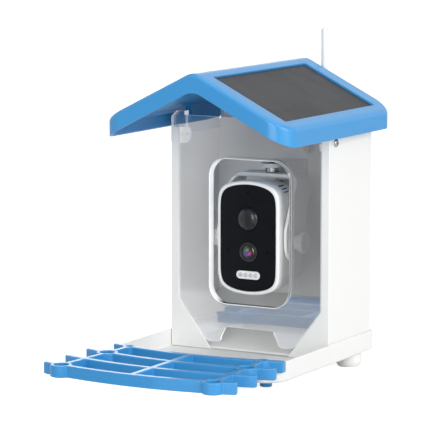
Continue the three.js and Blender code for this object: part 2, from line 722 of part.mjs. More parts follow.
/** A pan-head screw laid along X: head outside, shank running inwards. */
function makeScrew(headDiameter, headHeight, shankDiameter, shankLength) {
  const head = headDiameter / 2;
  const shank = shankDiameter / 2;
  const body = turned([
    [0, -shankLength], [shank, -shankLength], [shank, 0], [head, 0], [head, headHeight * 0.45],
    [head * 0.72, headHeight * 0.9], [0, headHeight],
  ], 18);
  const half = headDiameter * 0.3;
  const slot = SCREW_SLOT_WIDTH / 2;
  const deep = headHeight - SCREW_SLOT_DEPTH;
  const along = block(-half, half, -slot, slot, deep, headHeight + OVERRUN);
  const across = block(-slot, slot, -half, half, deep, headHeight + OVERRUN);
  return shape(cut(solid(body), along, across));
}

/** Two screws that pin the clear panel's ears through the side walls. */
function makePivotScrews(group) {
  const length = houseHalf + SEAT_GAP - panelHalf;
  for (const [side, word] of [[-1, 'left'], [1, 'right']]) {
    const screw = makeScrew(SCREW_HEAD_DIAMETER, SCREW_HEAD_HEIGHT, SCREW_SHANK, length);
    screw.rotateY(side * Math.PI / 2).translate(side * (houseHalf + SEAT_GAP), PIVOT_BACK, pivotHeight);
    addPiece(group, `pivot_screw_${word}`, screw, 'chrome');
  }
}

/** Where the outer spine stands across the house at a place ahead of it. */
function spineSide(ahead) {
  const share = (ahead - PERCH_REAR_AHEAD) / PERCH_LENGTH;
  return PERCH_REAR_HALF + (PERCH_FRONT_HALF - PERCH_REAR_HALF) * share;
}

/** One bowed cross bar of the perch in plan, with round ends past the outer spines. */
function makePerchBar(ahead) {
  const half = spineSide(ahead);
  const tip = ahead > PERCH_REAR_AHEAD ? PERCH_TIP_HALF : PERCH_REAR_TIP_HALF;
  const steps = 18;
  const line = (x) => -ahead - PERCH_BOW * (1 - (x / half) * (x / half));
  const near = [];
  const far = [];
  for (let step = 0; step <= steps; step += 1) {
    const x = tip * (2 * step / steps - 1);
    const narrow = step === 0 || step === steps ? 0.72 : 1;
    near.push([x, line(x) - PERCH_BAR / 2 * narrow]);
    far.push([x, line(x) + PERCH_BAR / 2 * narrow]);
  }
  return outline([...near, ...far.reverse()]);
}

/** One spine of the perch, from its rear bar to its front bar. */
function makePerchSpine(side) {
  const bow = side === 0 ? PERCH_BOW : 0;
  const rear = -PERCH_REAR_AHEAD - bow;
  const front = rear - PERCH_LENGTH;
  const half = PERCH_BAR / 2;
  return outline([
    [side * PERCH_REAR_HALF - half, rear], [side * PERCH_FRONT_HALF - half, front],
    [side * PERCH_FRONT_HALF + half, front], [side * PERCH_REAR_HALF + half, rear],
  ]);
}

/** Ladder-like perch: four bowed bars, three spines, two eyes at the rear and four rings. */
function makePerch(group) {
  const pieces = [];
  const holes = [];
  for (let bar = 0; bar < PERCH_BARS; bar += 1) {
    const ahead = PERCH_REAR_AHEAD + PERCH_LENGTH * bar / (PERCH_BARS - 1);
    pieces.push(standing(makePerchBar(ahead), perchBottom, PERCH_HEIGHT));
    const ringed = (PERCH_BARS - 1 - bar) % 2 === 0;
    const outer = bar === 0 ? PERCH_EYE_DIAMETER : PERCH_RING_DIAMETER;
    const inner = bar === 0 ? PERCH_PEG_DIAMETER + 2 * SEAT_GAP : PERCH_RING_HOLE;
    if (!ringed && bar !== 0) continue;
    for (const side of [-1, 1]) {
      const place = [side * spineSide(ahead), -ahead];
      pieces.push(turned(rod(outer, perchBottom, perchBottom + PERCH_HEIGHT), 20).translate(...place, 0));
      const hole = rod(inner, perchBottom - OVERRUN, perchBottom + PERCH_HEIGHT + OVERRUN);
      holes.push(turned(hole, 16).translate(...place, 0));
    }
  }
  for (const side of [-1, 0, 1]) pieces.push(standing(makePerchSpine(side), perchBottom, PERCH_HEIGHT));
  addPiece(group, 'perch', shape(cut(join(...pieces), ...holes)), 'bluePlastic');
}

/** Roof outline at one inset, lowered from the gable surface: along the front, then back along the rear. */
function roofRing(inset, lowered) {
  const steps = 6;
  const ridge = [-1, -0.5, 0, 0.5, 1].map((share) => share * RIDGE_ROUND);
  const reach = ROOF_RADIUS - inset;
  const centre = ROOF_HALF_WIDTH - ROOF_RADIUS;
  const edge = [];
  for (let step = 0; step <= steps; step += 1) {
    const angle = step / steps * Math.PI / 2;
    edge.push([-centre - reach * Math.cos(angle), reach * Math.sin(angle)]);
  }
  for (const x of ridge) edge.push([x, reach]);
  for (let step = steps; step >= 0; step -= 1) {
    const angle = step / steps * Math.PI / 2;
    edge.push([centre + reach * Math.cos(angle), reach * Math.sin(angle)]);
  }
  const place = ([x, out], from, side) => (
    new THREE.Vector3(x, from + side * out, gableHeight(x) - lowered));
  const front = edge.map((point) => place(point, -ROOF_AHEAD + ROOF_RADIUS, -1));
  const rear = edge.map((point) => place(point, roofBack - ROOF_RADIUS, 1)).reverse();
  return [...front, ...rear];
}

/** Frame of the right slope: X runs down the slope, Z stands out of it. */
function slopeMatrix() {
  const matrix = new THREE.Matrix4().makeRotationY(roofAngle);
  return matrix.setPosition(0, 0, ridgeTop);
}

/** Distances along the right slope at which the solar pocket starts and ends. */
function solarSpan() {
  const lean = Math.cos(roofAngle);
  return [SOLAR_RIDGE_SIDE, (ROOF_HALF_WIDTH - SOLAR_EAVE_MARGIN) / lean];
}

/** Rib on one side of the roof that rests on a side wall and holds it from inside. */
function makeRoofRib(side) {
  const under = (x) => gableHeight(x) - ROOF_TOP / Math.cos(roofAngle) + ROOF_TOP / 2;
  const tongueOuter = houseInner - RUNNING_GAP;
  const tongueInner = tongueOuter - TONGUE_THICKNESS;
  const seat = houseTop + SEAT_GAP;
  const profile = outline([
    [side * tongueInner, houseTop - TONGUE_DROP], [side * tongueOuter, houseTop - TONGUE_DROP],
    [side * tongueOuter, seat], [side * houseHalf, seat], [side * houseHalf, under(houseHalf)],
    [side * tongueInner, under(tongueInner)],
  ]);
  const depth = HOUSE_DEPTH - HOUSE_WALL - RIB_AHEAD_CLEAR - RIB_BACK_CLEAR;
  return facing(profile, RIB_AHEAD_CLEAR, depth);
}

/** Gable roof: a thin top over a deep skirt, with the solar pocket and two seating ribs. */
function makeRoofShell(group) {
  const lean = Math.cos(roofAngle);
  const shell = skin([
    roofRing(ROOF_WALL, ROOF_TOP / lean),
    roofRing(ROOF_WALL, ROOF_SKIRT),
    roofRing(0, ROOF_SKIRT),
    roofRing(0, ROOF_EDGE),
    roofRing(ROOF_EDGE * 0.3, ROOF_EDGE * 0.3),
    roofRing(ROOF_EDGE, 0),
  ], { cap: stripCap });
  const [from, to] = solarSpan();
  const front = -ROOF_AHEAD + SOLAR_FRONT_MARGIN;
  const pocket = block(from, to, front, roofBack - SOLAR_BACK_MARGIN, -SOLAR_POCKET, OVERRUN);
  pocket.applyMatrix4(slopeMatrix());
  const ribs = join(makeRoofRib(-1)).add(join(makeRoofRib(1)));
  addPiece(group, 'roof_shell', shape(cut(solid(shell).add(ribs), pocket)), 'bluePlastic');
}

/** A flat plate on the slope, inset from the solar pocket's sides. */
function makeSlopePlate(inset, low, thickness, bevel) {
  const [from, to] = solarSpan();
  const front = -ROOF_AHEAD + SOLAR_FRONT_MARGIN;
  const rear = roofBack - SOLAR_BACK_MARGIN;
  const level = (extra, z) => [
    [from + inset + extra, front + inset + extra], [to - inset - extra, front + inset + extra],
    [to - inset - extra, rear - inset - extra], [from + inset + extra, rear - inset - extra],
  ].map(([x, y]) => new THREE.Vector3(x, y, z));
  return skin([level(0, low), level(0, low + thickness - bevel), level(bevel, low + thickness)], {});
}

/** Solar panel in the right slope: cells under glass, and the junction box below the roof. */
function makeSolarPanel(group) {
  const slope = new THREE.Group();
  slope.rotation.y = roofAngle;
  slope.position.z = ridgeTop;
  group.add(slope);
  const floor = -SOLAR_POCKET + SEAT_GAP;
  const glassFloor = floor + SOLAR_CELL_THICKNESS + SEAT_GAP;
  const cells = makeSlopePlate(SOLAR_CELL_INSET, floor, SOLAR_CELL_THICKNESS, 0);
  addPiece(slope, 'solar_cells', cells, 'solarCell');
  const glass = makeSlopePlate(SEAT_GAP, glassFloor, SOLAR_GLASS_THICKNESS, SOLAR_GLASS_BEVEL);
  addPiece(slope, 'solar_glass', glass, 'solarGlass');
  const [from, to] = solarSpan();
  const middle = (roofBack - ROOF_AHEAD) / 2;
  const plan = roundedRectangle(JUNCTION_WIDTH / 2, JUNCTION_LENGTH / 2, JUNCTION_RADIUS, 3);
  const low = -ROOF_TOP - SEAT_GAP - JUNCTION_HEIGHT;
  const box = standing(outline(shifted(plan, (from + to) / 2, middle)), low, JUNCTION_HEIGHT);
  addPiece(slope, 'solar_junction_box', weld(box), 'blackPlastic');
}

/** Shares of the head's half height at which a quarter of its outline has points. */
const CAMERA_RISE_SHARES = [0, 0.6, 0.75, 0.84, 0.91, 0.957, 0.988, 1];

/** Powers of the head's outline: a low one bows its top, a high one keeps its sides straight. */
const CAMERA_ACROSS_POWER_SHARE = 1.87;
const CAMERA_UPRIGHT_POWER_SHARE = 9.7;

/** Outline of the head, narrowed by an inset across and an inset in height, anticlockwise. */
function cameraOutline(insetX, insetZ = insetX) {
  const [wide, high] = [CAMERA_HALF_WIDTH - insetX, CAMERA_HALF_HEIGHT - insetZ];
  const quarter = CAMERA_RISE_SHARES.map((rise) => {
    const across = (1 - rise ** CAMERA_UPRIGHT_POWER_SHARE) ** (1 / CAMERA_ACROSS_POWER_SHARE);
    return [wide * across, high * rise];
  });
  const upper = [...quarter, ...quarter.slice(0, -1).reverse().map(([x, z]) => [-x, z])];
  return [...upper, ...upper.slice(1, -1).map(([x, z]) => [-x, -z])];
}

/** Camera section at one depth. */
function cameraRing(y, insetX, insetZ = insetX) {
  return cameraOutline(insetX, insetZ).map(([x, z]) => new THREE.Vector3(x, y, z));
}

/** Cap of a ring that stands in X and Z. */
function standingCap(points) {
  return flatCap(points, (p) => new THREE.Vector2(p.x, p.z));
}

/** White front bezel with a pocket for the dark face and a shelf behind it. */
function makeBezel(group) {
  const pocket = FACE_RECESS + FACE_THICKNESS + SEAT_GAP;
  const inner = CAMERA_WALL + 0.3 * CAMERA_WALL;
  const bezel = skin([
    cameraRing(0, BEZEL_ROUND),
    cameraRing(BEZEL_ROUND * 0.3, BEZEL_ROUND * 0.3),
    cameraRing(BEZEL_ROUND, 0),
    cameraRing(BEZEL_DEPTH, SEAT_GAP),
    cameraRing(BEZEL_DEPTH, inner),
    cameraRing(pocket + BEZEL_SHELF, inner),
    cameraRing(pocket + BEZEL_SHELF, BEZEL_RIM + 2 * BEZEL_SHELF),
    cameraRing(pocket, BEZEL_RIM + 2 * BEZEL_SHELF),
    cameraRing(pocket, BEZEL_RIM),
    cameraRing(0, BEZEL_RIM),
  ], { loop: true });
  addPiece(group, 'camera_front_bezel', bezel, 'whitePlastic');
}

/** Share of the rear shell's depth, then of the camera wall that each side and the top draw in. */
const REAR_STATION_SHARES = [
  [0, 0.14, 0.18], [0.22, 0.27, 0.6], [0.46, 0.55, 1.25], [0.64, 0.9, 1.9],
  [0.83, 2, 3.1], [0.95, 4.3, 5.3], [1, 6.6, 7.8],
];

/** White rear shell: tapers to a rounded back, with pivot holes, button hole and port recess. */
function makeRearShell(group) {
  const start = BEZEL_DEPTH + SEAT_GAP;
  const station = (share) => start + share * REAR_SHELL_DEPTH;
  const outer = REAR_STATION_SHARES.map(([share, sideShare, topShare]) => (
    cameraRing(station(share), sideShare * CAMERA_WALL, topShare * CAMERA_WALL)));
  const inner = REAR_STATION_SHARES.slice(0, -1).map(([share, sideShare, topShare]) => (
    cameraRing(station(share) - (share > 0 ? CAMERA_WALL * share : 0),
      (sideShare + 1) * CAMERA_WALL, (topShare + 1) * CAMERA_WALL)));
  const shell = skin([...inner.reverse(), ...outer], { cap: standingCap });
  const wide = CAMERA_HALF_WIDTH + OVERRUN;
  const pivot = turnedAlongX(rod(INSERT_DIAMETER + 2 * SEAT_GAP, -wide, wide), 20);
  pivot.translate(0, tiltLocalBack(), tiltLocalHeight());
  const back = start + REAR_SHELL_DEPTH;
  const buttonHole = turnedAlongY(rod(BUTTON_DIAMETER + 2 * SEAT_GAP, -3 * CAMERA_WALL, OVERRUN), 20);
  buttonHole.translate(0, back, BUTTON_RISE);
  const recess = facing(outline(portOutline(SEAT_GAP)), back - PORT_COVER_DEPTH, 2 * OVERRUN);
  const body = cut(solid(shell), pivot, buttonHole, recess);
  addPiece(group, 'camera_rear_shell', shape(body), 'whitePlastic');
}

/** Outline of the port cover, grown by a clearance. */
function portOutline(clearance) {
  const halfWidth = PORT_COVER_WIDTH / 2 + clearance;
  const halfHeight = PORT_COVER_HEIGHT / 2 + clearance;
  const cover = roundedRectangle(halfWidth, halfHeight, PORT_COVER_RADIUS + clearance, 3);
  return shifted(cover, 0, -PORT_COVER_DROP);
}

/** Distance of the tilt axis behind the camera's front. */
function tiltLocalBack() {
  return TILT_AXIS_BACK + CAMERA_PROUD;
}

/** Height of the tilt axis from the camera's centre. */
function tiltLocalHeight() {
  return tiltHeight - cameraCentre;
}

/** Dark face plate with its openings for the sensor dome, the lens, the lamps and the microphones. */
function makeFace(group) {
  const plate = facing(outline(cameraOutline(BEZEL_RIM + SEAT_GAP)), FACE_RECESS, FACE_THICKNESS);
  const drill = (diameter, x, z, segments) => (
    turnedAlongY(rod(diameter, -OVERRUN, 3 * OVERRUN), segments).translate(x, 0, z));
  const slot = pill(LED_WINDOW_WIDTH + 2 * SEAT_GAP, LED_WINDOW_HEIGHT + 2 * SEAT_GAP);
  const tools = [
    drill(PIR_DIAMETER + 2 * SEAT_GAP, 0, PIR_RISE, 24),
    drill(LENS_DIAMETER + 2 * LENS_RING + 2 * SEAT_GAP, 0, -LENS_DROP, 24),
    drill(MIC_DIAMETER, -MIC_SIDE, -MIC_DROP, 8),
    drill(MIC_DIAMETER, MIC_SIDE, -MIC_DROP, 8),
    drill(MIC_DIAMETER, 0, STATUS_RISE, 8),
    facing(outline(shifted(slot, 0, -LED_DROP)), -OVERRUN, 4 * OVERRUN),
  ];
  addPiece(group, 'camera_face', shape(cut(solid(plate), ...tools)), 'glossBlack');
}

/** Domed motion sensor window. */
function makeSensorDome(group) {
  const radius = PIR_DIAMETER / 2;
  const base = FACE_RECESS + FACE_THICKNESS;
  const steps = 5;
  const profile = [[0, base]];
  for (let step = 0; step <= steps; step += 1) {
    const angle = step / steps * Math.PI / 2;
    profile.push([radius * Math.cos(angle), FACE_RECESS - PIR_BULGE * Math.sin(angle)]);
  }
  profile.splice(1, 0, [radius, base]);
  addPiece(group, 'pir_dome', weld(turnedAlongY(profile).translate(0, 0, PIR_RISE)), 'smokeDome');
}

/** Lens barrel with its glass and the image sensor board behind it. */
function makeLens(group) {
  const outer = LENS_DIAMETER + 2 * LENS_RING;
  const bore = LENS_DIAMETER + 2 * SEAT_GAP;
  const front = FACE_RECESS - SEAT_GAP;
  const seat = front + LENS_RING;
  const barrel = turnedAlongY([
    [bore / 2, front + SEAT_GAP], [outer / 2 - SEAT_GAP, front], [outer / 2, front + SEAT_GAP],
    [outer / 2, LENS_DEPTH], [bore / 2 - LENS_RING, LENS_DEPTH], [bore / 2 - LENS_RING, seat + SEAT_GAP],
    [bore / 2, seat + SEAT_GAP], [bore / 2, front + SEAT_GAP],
  ]);
  addPiece(group, 'lens_barrel', weld(barrel.translate(0, 0, -LENS_DROP)), 'blackPlastic');
  const radius = LENS_DIAMETER / 2;
  const glass = turnedAlongY([
    [0, seat], [radius, seat], [radius, front + LENS_BULGE], [radius * 0.86, front + LENS_BULGE * 0.5],
    [radius * 0.5, front + LENS_BULGE * 0.12], [0, front],
  ]);
  addPiece(group, 'lens_glass', weld(glass.translate(0, 0, -LENS_DROP)), 'lensGlass');
  const half = outer / 2;
  const low = LENS_DEPTH + SEAT_GAP;
  const board = block(-half, half, low, low + BOARD_THICKNESS, -LENS_DROP - half, -LENS_DROP + half);
  addPiece(group, 'sensor_board', weld(board), 'board');
}

/** Lamp window and the row of lamps behind it. */
function makeLamps(group) {
  const bar = facing(outline(shifted(pill(LED_WINDOW_WIDTH, LED_WINDOW_HEIGHT), 0, -LED_DROP)),
    FACE_RECESS, LED_WINDOW_THICKNESS);
  addPiece(group, 'led_window', weld(bar), 'ledWindow');
  const pitch = (LED_WINDOW_WIDTH - LED_DIAMETER) / LED_COUNT;
  const near = FACE_RECESS + LED_WINDOW_THICKNESS + SEAT_GAP;
  const radius = LED_DIAMETER / 2;
  for (let lamp = 0; lamp < LED_COUNT; lamp += 1) {
    const x = (lamp - (LED_COUNT - 1) / 2) * pitch;
    const body = turnedAlongY([
      [0, near], [radius * 0.6, near + radius * 0.1], [radius, near + radius * 0.5],
      [radius, near + radius * 1.2], [0, near + radius * 1.2],
    ], 12);
    addPiece(group, `led_${lamp + 1}`, weld(body.translate(x, 0, -LED_DROP)), 'led');
  }
}

/** Cradle on the main board, above the loudspeaker, that the two cells lie in. */
function makeBatteryHolder(group, front, cellBack, low) {
  const radius = CELL_DIAMETER / 2 + SEAT_GAP;
  const half = 2 * radius;
  const high = CELL_LENGTH / 2;
  const body = block(-half, half, front, cellBack - HOLDER_WALL, low, high);
  const beds = [-1, 1].map((side) => (
    turned(rod(2 * radius, low - OVERRUN, high + OVERRUN)).translate(side * radius, cellBack, 0)));
  addPiece(group, 'battery_holder', shape(cut(solid(body), ...beds)), 'blackPlastic');
}

/** Main board, two cells, loudspeaker and the seal between the camera's shells. */
function makeCameraInside(group) {
  const boardFront = LENS_DEPTH + 2 * SEAT_GAP + BOARD_THICKNESS;
  const boardPlan = roundedRectangle(BOARD_HALF_WIDTH, BOARD_HALF_HEIGHT, BOARD_HALF_WIDTH / 2, 3);
  const board = facing(outline(boardPlan), boardFront, BOARD_THICKNESS);
  addPiece(group, 'camera_board', weld(board), 'board');
  const behind = boardFront + BOARD_THICKNESS + SEAT_GAP;
  const cellBack = behind + SPEAKER_HEIGHT + SEAT_GAP + CELL_DIAMETER / 2;
  for (const [side, word] of [[-1, 'left'], [1, 'right']]) {
    const radius = CELL_DIAMETER / 2;
    const tip = radius * 0.32;
    const cell = turned([
      [0, -CELL_LENGTH / 2], [radius, -CELL_LENGTH / 2], [radius, CELL_LENGTH / 2 - tip / 2],
      [tip, CELL_LENGTH / 2 - tip / 2], [tip, CELL_LENGTH / 2], [0, CELL_LENGTH / 2],
    ], 20);
    cell.translate(side * (radius + SEAT_GAP), cellBack, 0);
    addPiece(group, `battery_${word}`, weld(cell), 'batteryWrap');
  }
  const speaker = SPEAKER_DIAMETER / 2;
  const horn = turnedAlongY([
    [0, behind], [speaker * 0.45, behind], [speaker * 0.55, behind + SPEAKER_HEIGHT / 2],
    [speaker, behind + SPEAKER_HEIGHT / 2], [speaker, behind + SPEAKER_HEIGHT], [0, behind + SPEAKER_HEIGHT],
  ], 20);
  const low = -BOARD_HALF_HEIGHT + speaker;
  addPiece(group, 'speaker', weld(horn.translate(0, 0, low)), 'blackPlastic');
  makeBatteryHolder(group, behind, cellBack, low + speaker + SEAT_GAP);
  const outer = CAMERA_WALL + 0.3 * CAMERA_WALL + SEAT_GAP;
  const gasket = skin([
    cameraRing(BEZEL_DEPTH - GASKET_SIZE, outer), cameraRing(BEZEL_DEPTH + GASKET_SIZE, outer),
    cameraRing(BEZEL_DEPTH + GASKET_SIZE, outer + GASKET_SIZE),
    cameraRing(BEZEL_DEPTH - GASKET_SIZE, outer + GASKET_SIZE),
  ], { loop: true });
  addPiece(group, 'shell_gasket', gasket, 'rubber');
}

/** Push button and port cover in the camera's back. */
function makeCameraBack(group) {
  const back = BEZEL_DEPTH + SEAT_GAP + REAR_SHELL_DEPTH;
  const radius = BUTTON_DIAMETER / 2;
  const inside = back - 2 * CAMERA_WALL;
  const button = turnedAlongY([
    [0, inside], [radius, inside], [radius, back + BUTTON_PROUD * 0.6],
    [radius * 0.85, back + BUTTON_PROUD], [0, back + BUTTON_PROUD],
  ], 20);
  addPiece(group, 'power_button', weld(button.translate(0, 0, BUTTON_RISE)), 'greyRubber');
  const plate = facing(outline(portOutline(0)), back - PORT_COVER_DEPTH + SEAT_GAP, PORT_COVER_DEPTH);
  addPiece(group, 'port_cover', weld(plate), 'greyRubber');
}

/** Brass threads in the camera's sides and the rubber washers under the yoke's arms. */
function makePivotParts(group) {
  const face = CAMERA_HALF_WIDTH - 0.3 * CAMERA_WALL;
  for (const [side, word] of [[-1, 'left'], [1, 'right']]) {
    const insert = turnedAlongX(ring(INSERT_DIAMETER, STUD_HOLE, face - INSERT_LENGTH, face), 20);
    const washer = turnedAlongX(ring(WASHER_DIAMETER, STUD_HOLE, face + SEAT_GAP,
      face + SEAT_GAP + WASHER_THICKNESS), 20);
    for (const piece of [insert, washer]) {
      if (side < 0) piece.rotateZ(Math.PI);
      piece.translate(0, tiltLocalBack(), tiltLocalHeight());
    }
    addPiece(group, `pivot_insert_${word}`, weld(insert), 'brass');
    addPiece(group, `tilt_washer_${word}`, weld(washer), 'rubber');
  }
}

/** The camera head as one group, its front at the house front and its height at the window's middle. */
function makeCamera(group) {
  const head = new THREE.Group();
  head.position.set(0, -CAMERA_PROUD, cameraCentre);
  group.add(head);
  makeBezel(head);
  makeRearShell(head);
  makeFace(head);
  makeSensorDome(head);
  makeLens(head);
  makeLamps(head);
  makeCameraInside(head);
  makeCameraBack(head);
  makePivotParts(head);
}

/** Yoke seen from the side: a broad lobe at the tilt axis that leans back to the top plate. */
function makeYokeSide() {
  const lobe = YOKE_LOBE_RADIUS;
  const [y, z] = [TILT_AXIS_BACK, tiltHeight];
  const back = YOKE_TOP_FRONT + YOKE_TOP_DEPTH;
  const rise = yokeTop - z;
  const side = new THREE.Shape();
  side.moveTo(y - lobe, z);
  side.absarc(y, z, lobe, Math.PI, 2 * Math.PI, false);
  side.quadraticCurveTo(y + lobe, z + rise * 0.45, back, z + rise * 0.72);
  side.lineTo(back, yokeTop);
  side.lineTo(YOKE_TOP_FRONT, yokeTop);
  side.quadraticCurveTo(y - lobe * 0.35, yokeTop - rise * 0.25, y - lobe, z + rise * 0.2);
  return side;
}

/** Yoke seen from the front: a flat top with bent corners and two straight arms. */
function makeYokeFront() {
  const inner = armInner;
  const outer = inner + YOKE_THICKNESS;
  const low = tiltHeight - YOKE_LOBE_RADIUS - OVERRUN;
  const bend = YOKE_BEND_RADIUS;
  const tight = bend - YOKE_THICKNESS;
  const under = yokeTop - YOKE_THICKNESS;
  const front = new THREE.Shape();
  front.moveTo(outer, low);
  front.absarc(outer - bend, yokeTop - bend, bend, 0, Math.PI / 2, false);
  front.absarc(-outer + bend, yokeTop - bend, bend, Math.PI / 2, Math.PI, false);
  front.lineTo(-outer, low);
  front.lineTo(-inner, low);
  front.absarc(-inner + tight, under - tight, tight, Math.PI, Math.PI / 2, true);
  front.absarc(inner - tight, under - tight, tight, Math.PI / 2, 0, true);
  front.lineTo(inner, low);
  return front;
}

/** The yoke: a bent bracket over the camera with a hole at the top and one in each arm. */
function makeYoke(group) {
  const wide = 2 * (armInner + YOKE_THICKNESS + OVERRUN);
  const deep = TILT_AXIS_BACK - YOKE_LOBE_RADIUS - OVERRUN;
  const bent = facing(makeYokeFront(), deep, YOKE_TOP_FRONT + YOKE_TOP_DEPTH + OVERRUN - deep, 5);
  const profile = sideways(makeYokeSide(), -wide / 2, wide, 10);
  const bracket = solid(bent).intersect(solid(profile));
  const armHole = turnedAlongX(rod(STUD_HOLE, -wide / 2, wide / 2), 16);
  armHole.translate(0, TILT_AXIS_BACK, tiltHeight);
  const topHole = turned(rod(YOKE_STUD_HOLE, yokeTop - 2 * YOKE_THICKNESS, yokeTop + OVERRUN), 16);
  topHole.translate(0, swivelBack, 0);
  addPiece(group, 'camera_yoke', shape(cut(bracket, armHole, topHole)), 'whitePlastic');
}

/** Scalloped outline of a knob's grip. */
function gripOutline() {
  const points = [];
  const steps = KNOB_LOBES * 4;
  for (let step = 0; step < steps; step += 1) {
    const angle = step / steps * 2 * Math.PI;
    const dip = KNOB_LOBE_DEPTH * (1 - Math.cos(KNOB_LOBES * angle)) / 2;
    const radius = KNOB_GRIP_DIAMETER / 2 - dip;
    points.push([radius * Math.cos(angle), radius * Math.sin(angle)]);
  }
  return outline(points);
}

/** Tilt knobs: collar, scalloped grip with a sunk hub, and a stud that screws into the camera. */
function makeTiltKnobs(group) {
  const start = armInner + YOKE_THICKNESS + SEAT_GAP;
  const studEnd = CAMERA_HALF_WIDTH - INSERT_LENGTH / 2 - start;
  const collar = turned([
    [0, studEnd], [STUD_DIAMETER / 2, studEnd], [STUD_DIAMETER / 2, 0], [KNOB_COLLAR_DIAMETER / 2, 0],
    [KNOB_COLLAR_DIAMETER / 2, KNOB_COLLAR_LENGTH + OVERRUN], [0, KNOB_COLLAR_LENGTH + OVERRUN],
  ]);
  const grip = standing(gripOutline(), KNOB_COLLAR_LENGTH, KNOB_GRIP_LENGTH);
  const top = KNOB_COLLAR_LENGTH + KNOB_GRIP_LENGTH;
  const hub = turned(rod(KNOB_HUB_DIAMETER, top - KNOB_HUB_RECESS, top + OVERRUN), 20);
  for (const [side, word] of [[-1, 'left'], [1, 'right']]) {
    const knob = shape(cut(join(collar, grip), hub));
    knob.rotateY(side * Math.PI / 2).translate(side * start, TILT_AXIS_BACK, tiltHeight);
    addPiece(group, `tilt_knob_${word}`, knob, 'whitePlastic');
  }
}

/** Chrome stud and knurled nut that hang the yoke from the hanger. */
function makeYokeScrew(group) {
  const nutLow = yokeTop + SEAT_GAP;
  const nutHigh = nutLow + YOKE_NUT_HEIGHT;
  const stud = YOKE_STUD_DIAMETER / 2;
  const nut = YOKE_NUT_DIAMETER / 2;
  const low = yokeTop - YOKE_THICKNESS;
  const high = hangerBottom + HANGER_THICKNESS + stud;
  const screw = turned([
    [0, low], [stud, low], [stud, nutLow], [nut * 0.92, nutLow], [nut, nutLow + SEAT_GAP],
    [nut, nutHigh - SEAT_GAP], [nut * 0.92, nutHigh], [stud, nutHigh], [stud, high], [0, high],
  ], 18);
  addPiece(group, 'yoke_screw', weld(screw.translate(0, swivelBack, 0)), 'chrome');
}

/** Places of the hanger's screws across the back wall. */
function hangerScrewPlaces() {
  const z = hangerBottom + HANGER_THICKNESS - HANGER_FLANGE_HEIGHT + HANGER_SCREW_DROP;
  return [-1, 1].map((side) => [side * HANGER_SCREW_SIDE, z]);
}

/** Hanger: a round-nosed shelf from the back wall, with a flange and a gusset. */
function makeHanger(group) {
  const back = HOUSE_DEPTH - HOUSE_WALL - SEAT_GAP;
  const top = hangerBottom + HANGER_THICKNESS;
  const plan = new THREE.Shape();
  plan.moveTo(HANGER_HALF_WIDTH, back);
  plan.lineTo(-HANGER_HALF_WIDTH, back);
  plan.lineTo(-HANGER_NOSE, swivelBack);
  plan.absarc(0, swivelBack, HANGER_NOSE, Math.PI, 2 * Math.PI, false);
  const shelf = standing(plan, hangerBottom, HANGER_THICKNESS, 6);
  const foot = top - HANGER_FLANGE_HEIGHT;
  const flange = block(-HANGER_HALF_WIDTH, HANGER_HALF_WIDTH, back - HANGER_THICKNESS, back, foot, top);
  const half = HANGER_THICKNESS / 2;
  const gusset = outline([
    [back - half, hangerBottom + half], [back - HANGER_GUSSET, hangerBottom + half],
    [back - HANGER_GUSSET, hangerBottom], [back - HANGER_THICKNESS, foot], [back - half, foot],
  ]);
  const web = sideways(gusset, -HANGER_THICKNESS / 2, HANGER_THICKNESS);
  const hole = turned(rod(YOKE_STUD_HOLE, hangerBottom - OVERRUN, top + OVERRUN), 16);
  hole.translate(0, swivelBack, 0);
  const screwHoles = hangerScrewPlaces().map(([x, z]) => (
    turnedAlongY(rod(SCREW_HOLE, back - 2 * HANGER_THICKNESS, back + OVERRUN), 12).translate(x, 0, z)));
  const body = cut(join(shelf, flange, web), hole, ...screwHoles);
  addPiece(group, 'camera_hanger', shape(body), 'whitePlastic');
  hangerScrewPlaces().forEach(([x, z], number) => {
    const face = back - HANGER_THICKNESS - SEAT_GAP;
    const screw = makeScrew(SCREW_HEAD_DIAMETER * 0.8, SCREW_HEAD_HEIGHT, SCREW_SHANK,
      HANGER_THICKNESS + HOUSE_WALL);
    screw.rotateX(Math.PI / 2).translate(x, face, z);
    addPiece(group, `hanger_screw_${number === 0 ? 'left' : 'right'}`, screw, 'chrome');
  });
}

/** Six-sided nut laid along Y. */
function makeAntennaNut(group) {
  const points = [];
  const radius = ANTENNA_NUT_FLATS / Math.sqrt(3);
  for (let corner = 0; corner < 6; corner += 1) {
    const angle = corner * Math.PI / 3;
    points.push([ANTENNA_SIDE + radius * Math.cos(angle), antennaHeight + radius * Math.sin(angle)]);
  }
  const hexagon = facing(outline(points), HOUSE_DEPTH + SEAT_GAP, ANTENNA_NUT_HEIGHT);
  const bore = turnedAlongY(rod(BARREL_HOLE, HOUSE_DEPTH - OVERRUN, HOUSE_DEPTH + 3 * OVERRUN), 20);
  bore.translate(ANTENNA_SIDE, 0, antennaHeight);
  addPiece(group, 'antenna_nut', shape(cut(solid(hexagon), bore)), 'brass');
}

/** Threaded barrel through the back wall, flanged inside. */
function makeAntennaBarrel(group) {
  const inside = HOUSE_DEPTH - HOUSE_WALL - SEAT_GAP;
  const flange = BARREL_FLANGE_DIAMETER / 2;
  const barrel = BARREL_DIAMETER / 2;
  const near = inside - BARREL_FLANGE_THICKNESS;
  const end = HOUSE_DEPTH + BARREL_REACH;
  const body = turnedAlongY([
    [0, near - BARREL_DIAMETER], [barrel, near - BARREL_DIAMETER], [barrel, near], [flange, near],
    [flange, inside], [barrel, inside], [barrel, end], [0, end],
  ], 20);
  addPiece(group, 'antenna_barrel', weld(body.translate(ANTENNA_SIDE, 0, antennaHeight)), 'brass');
}

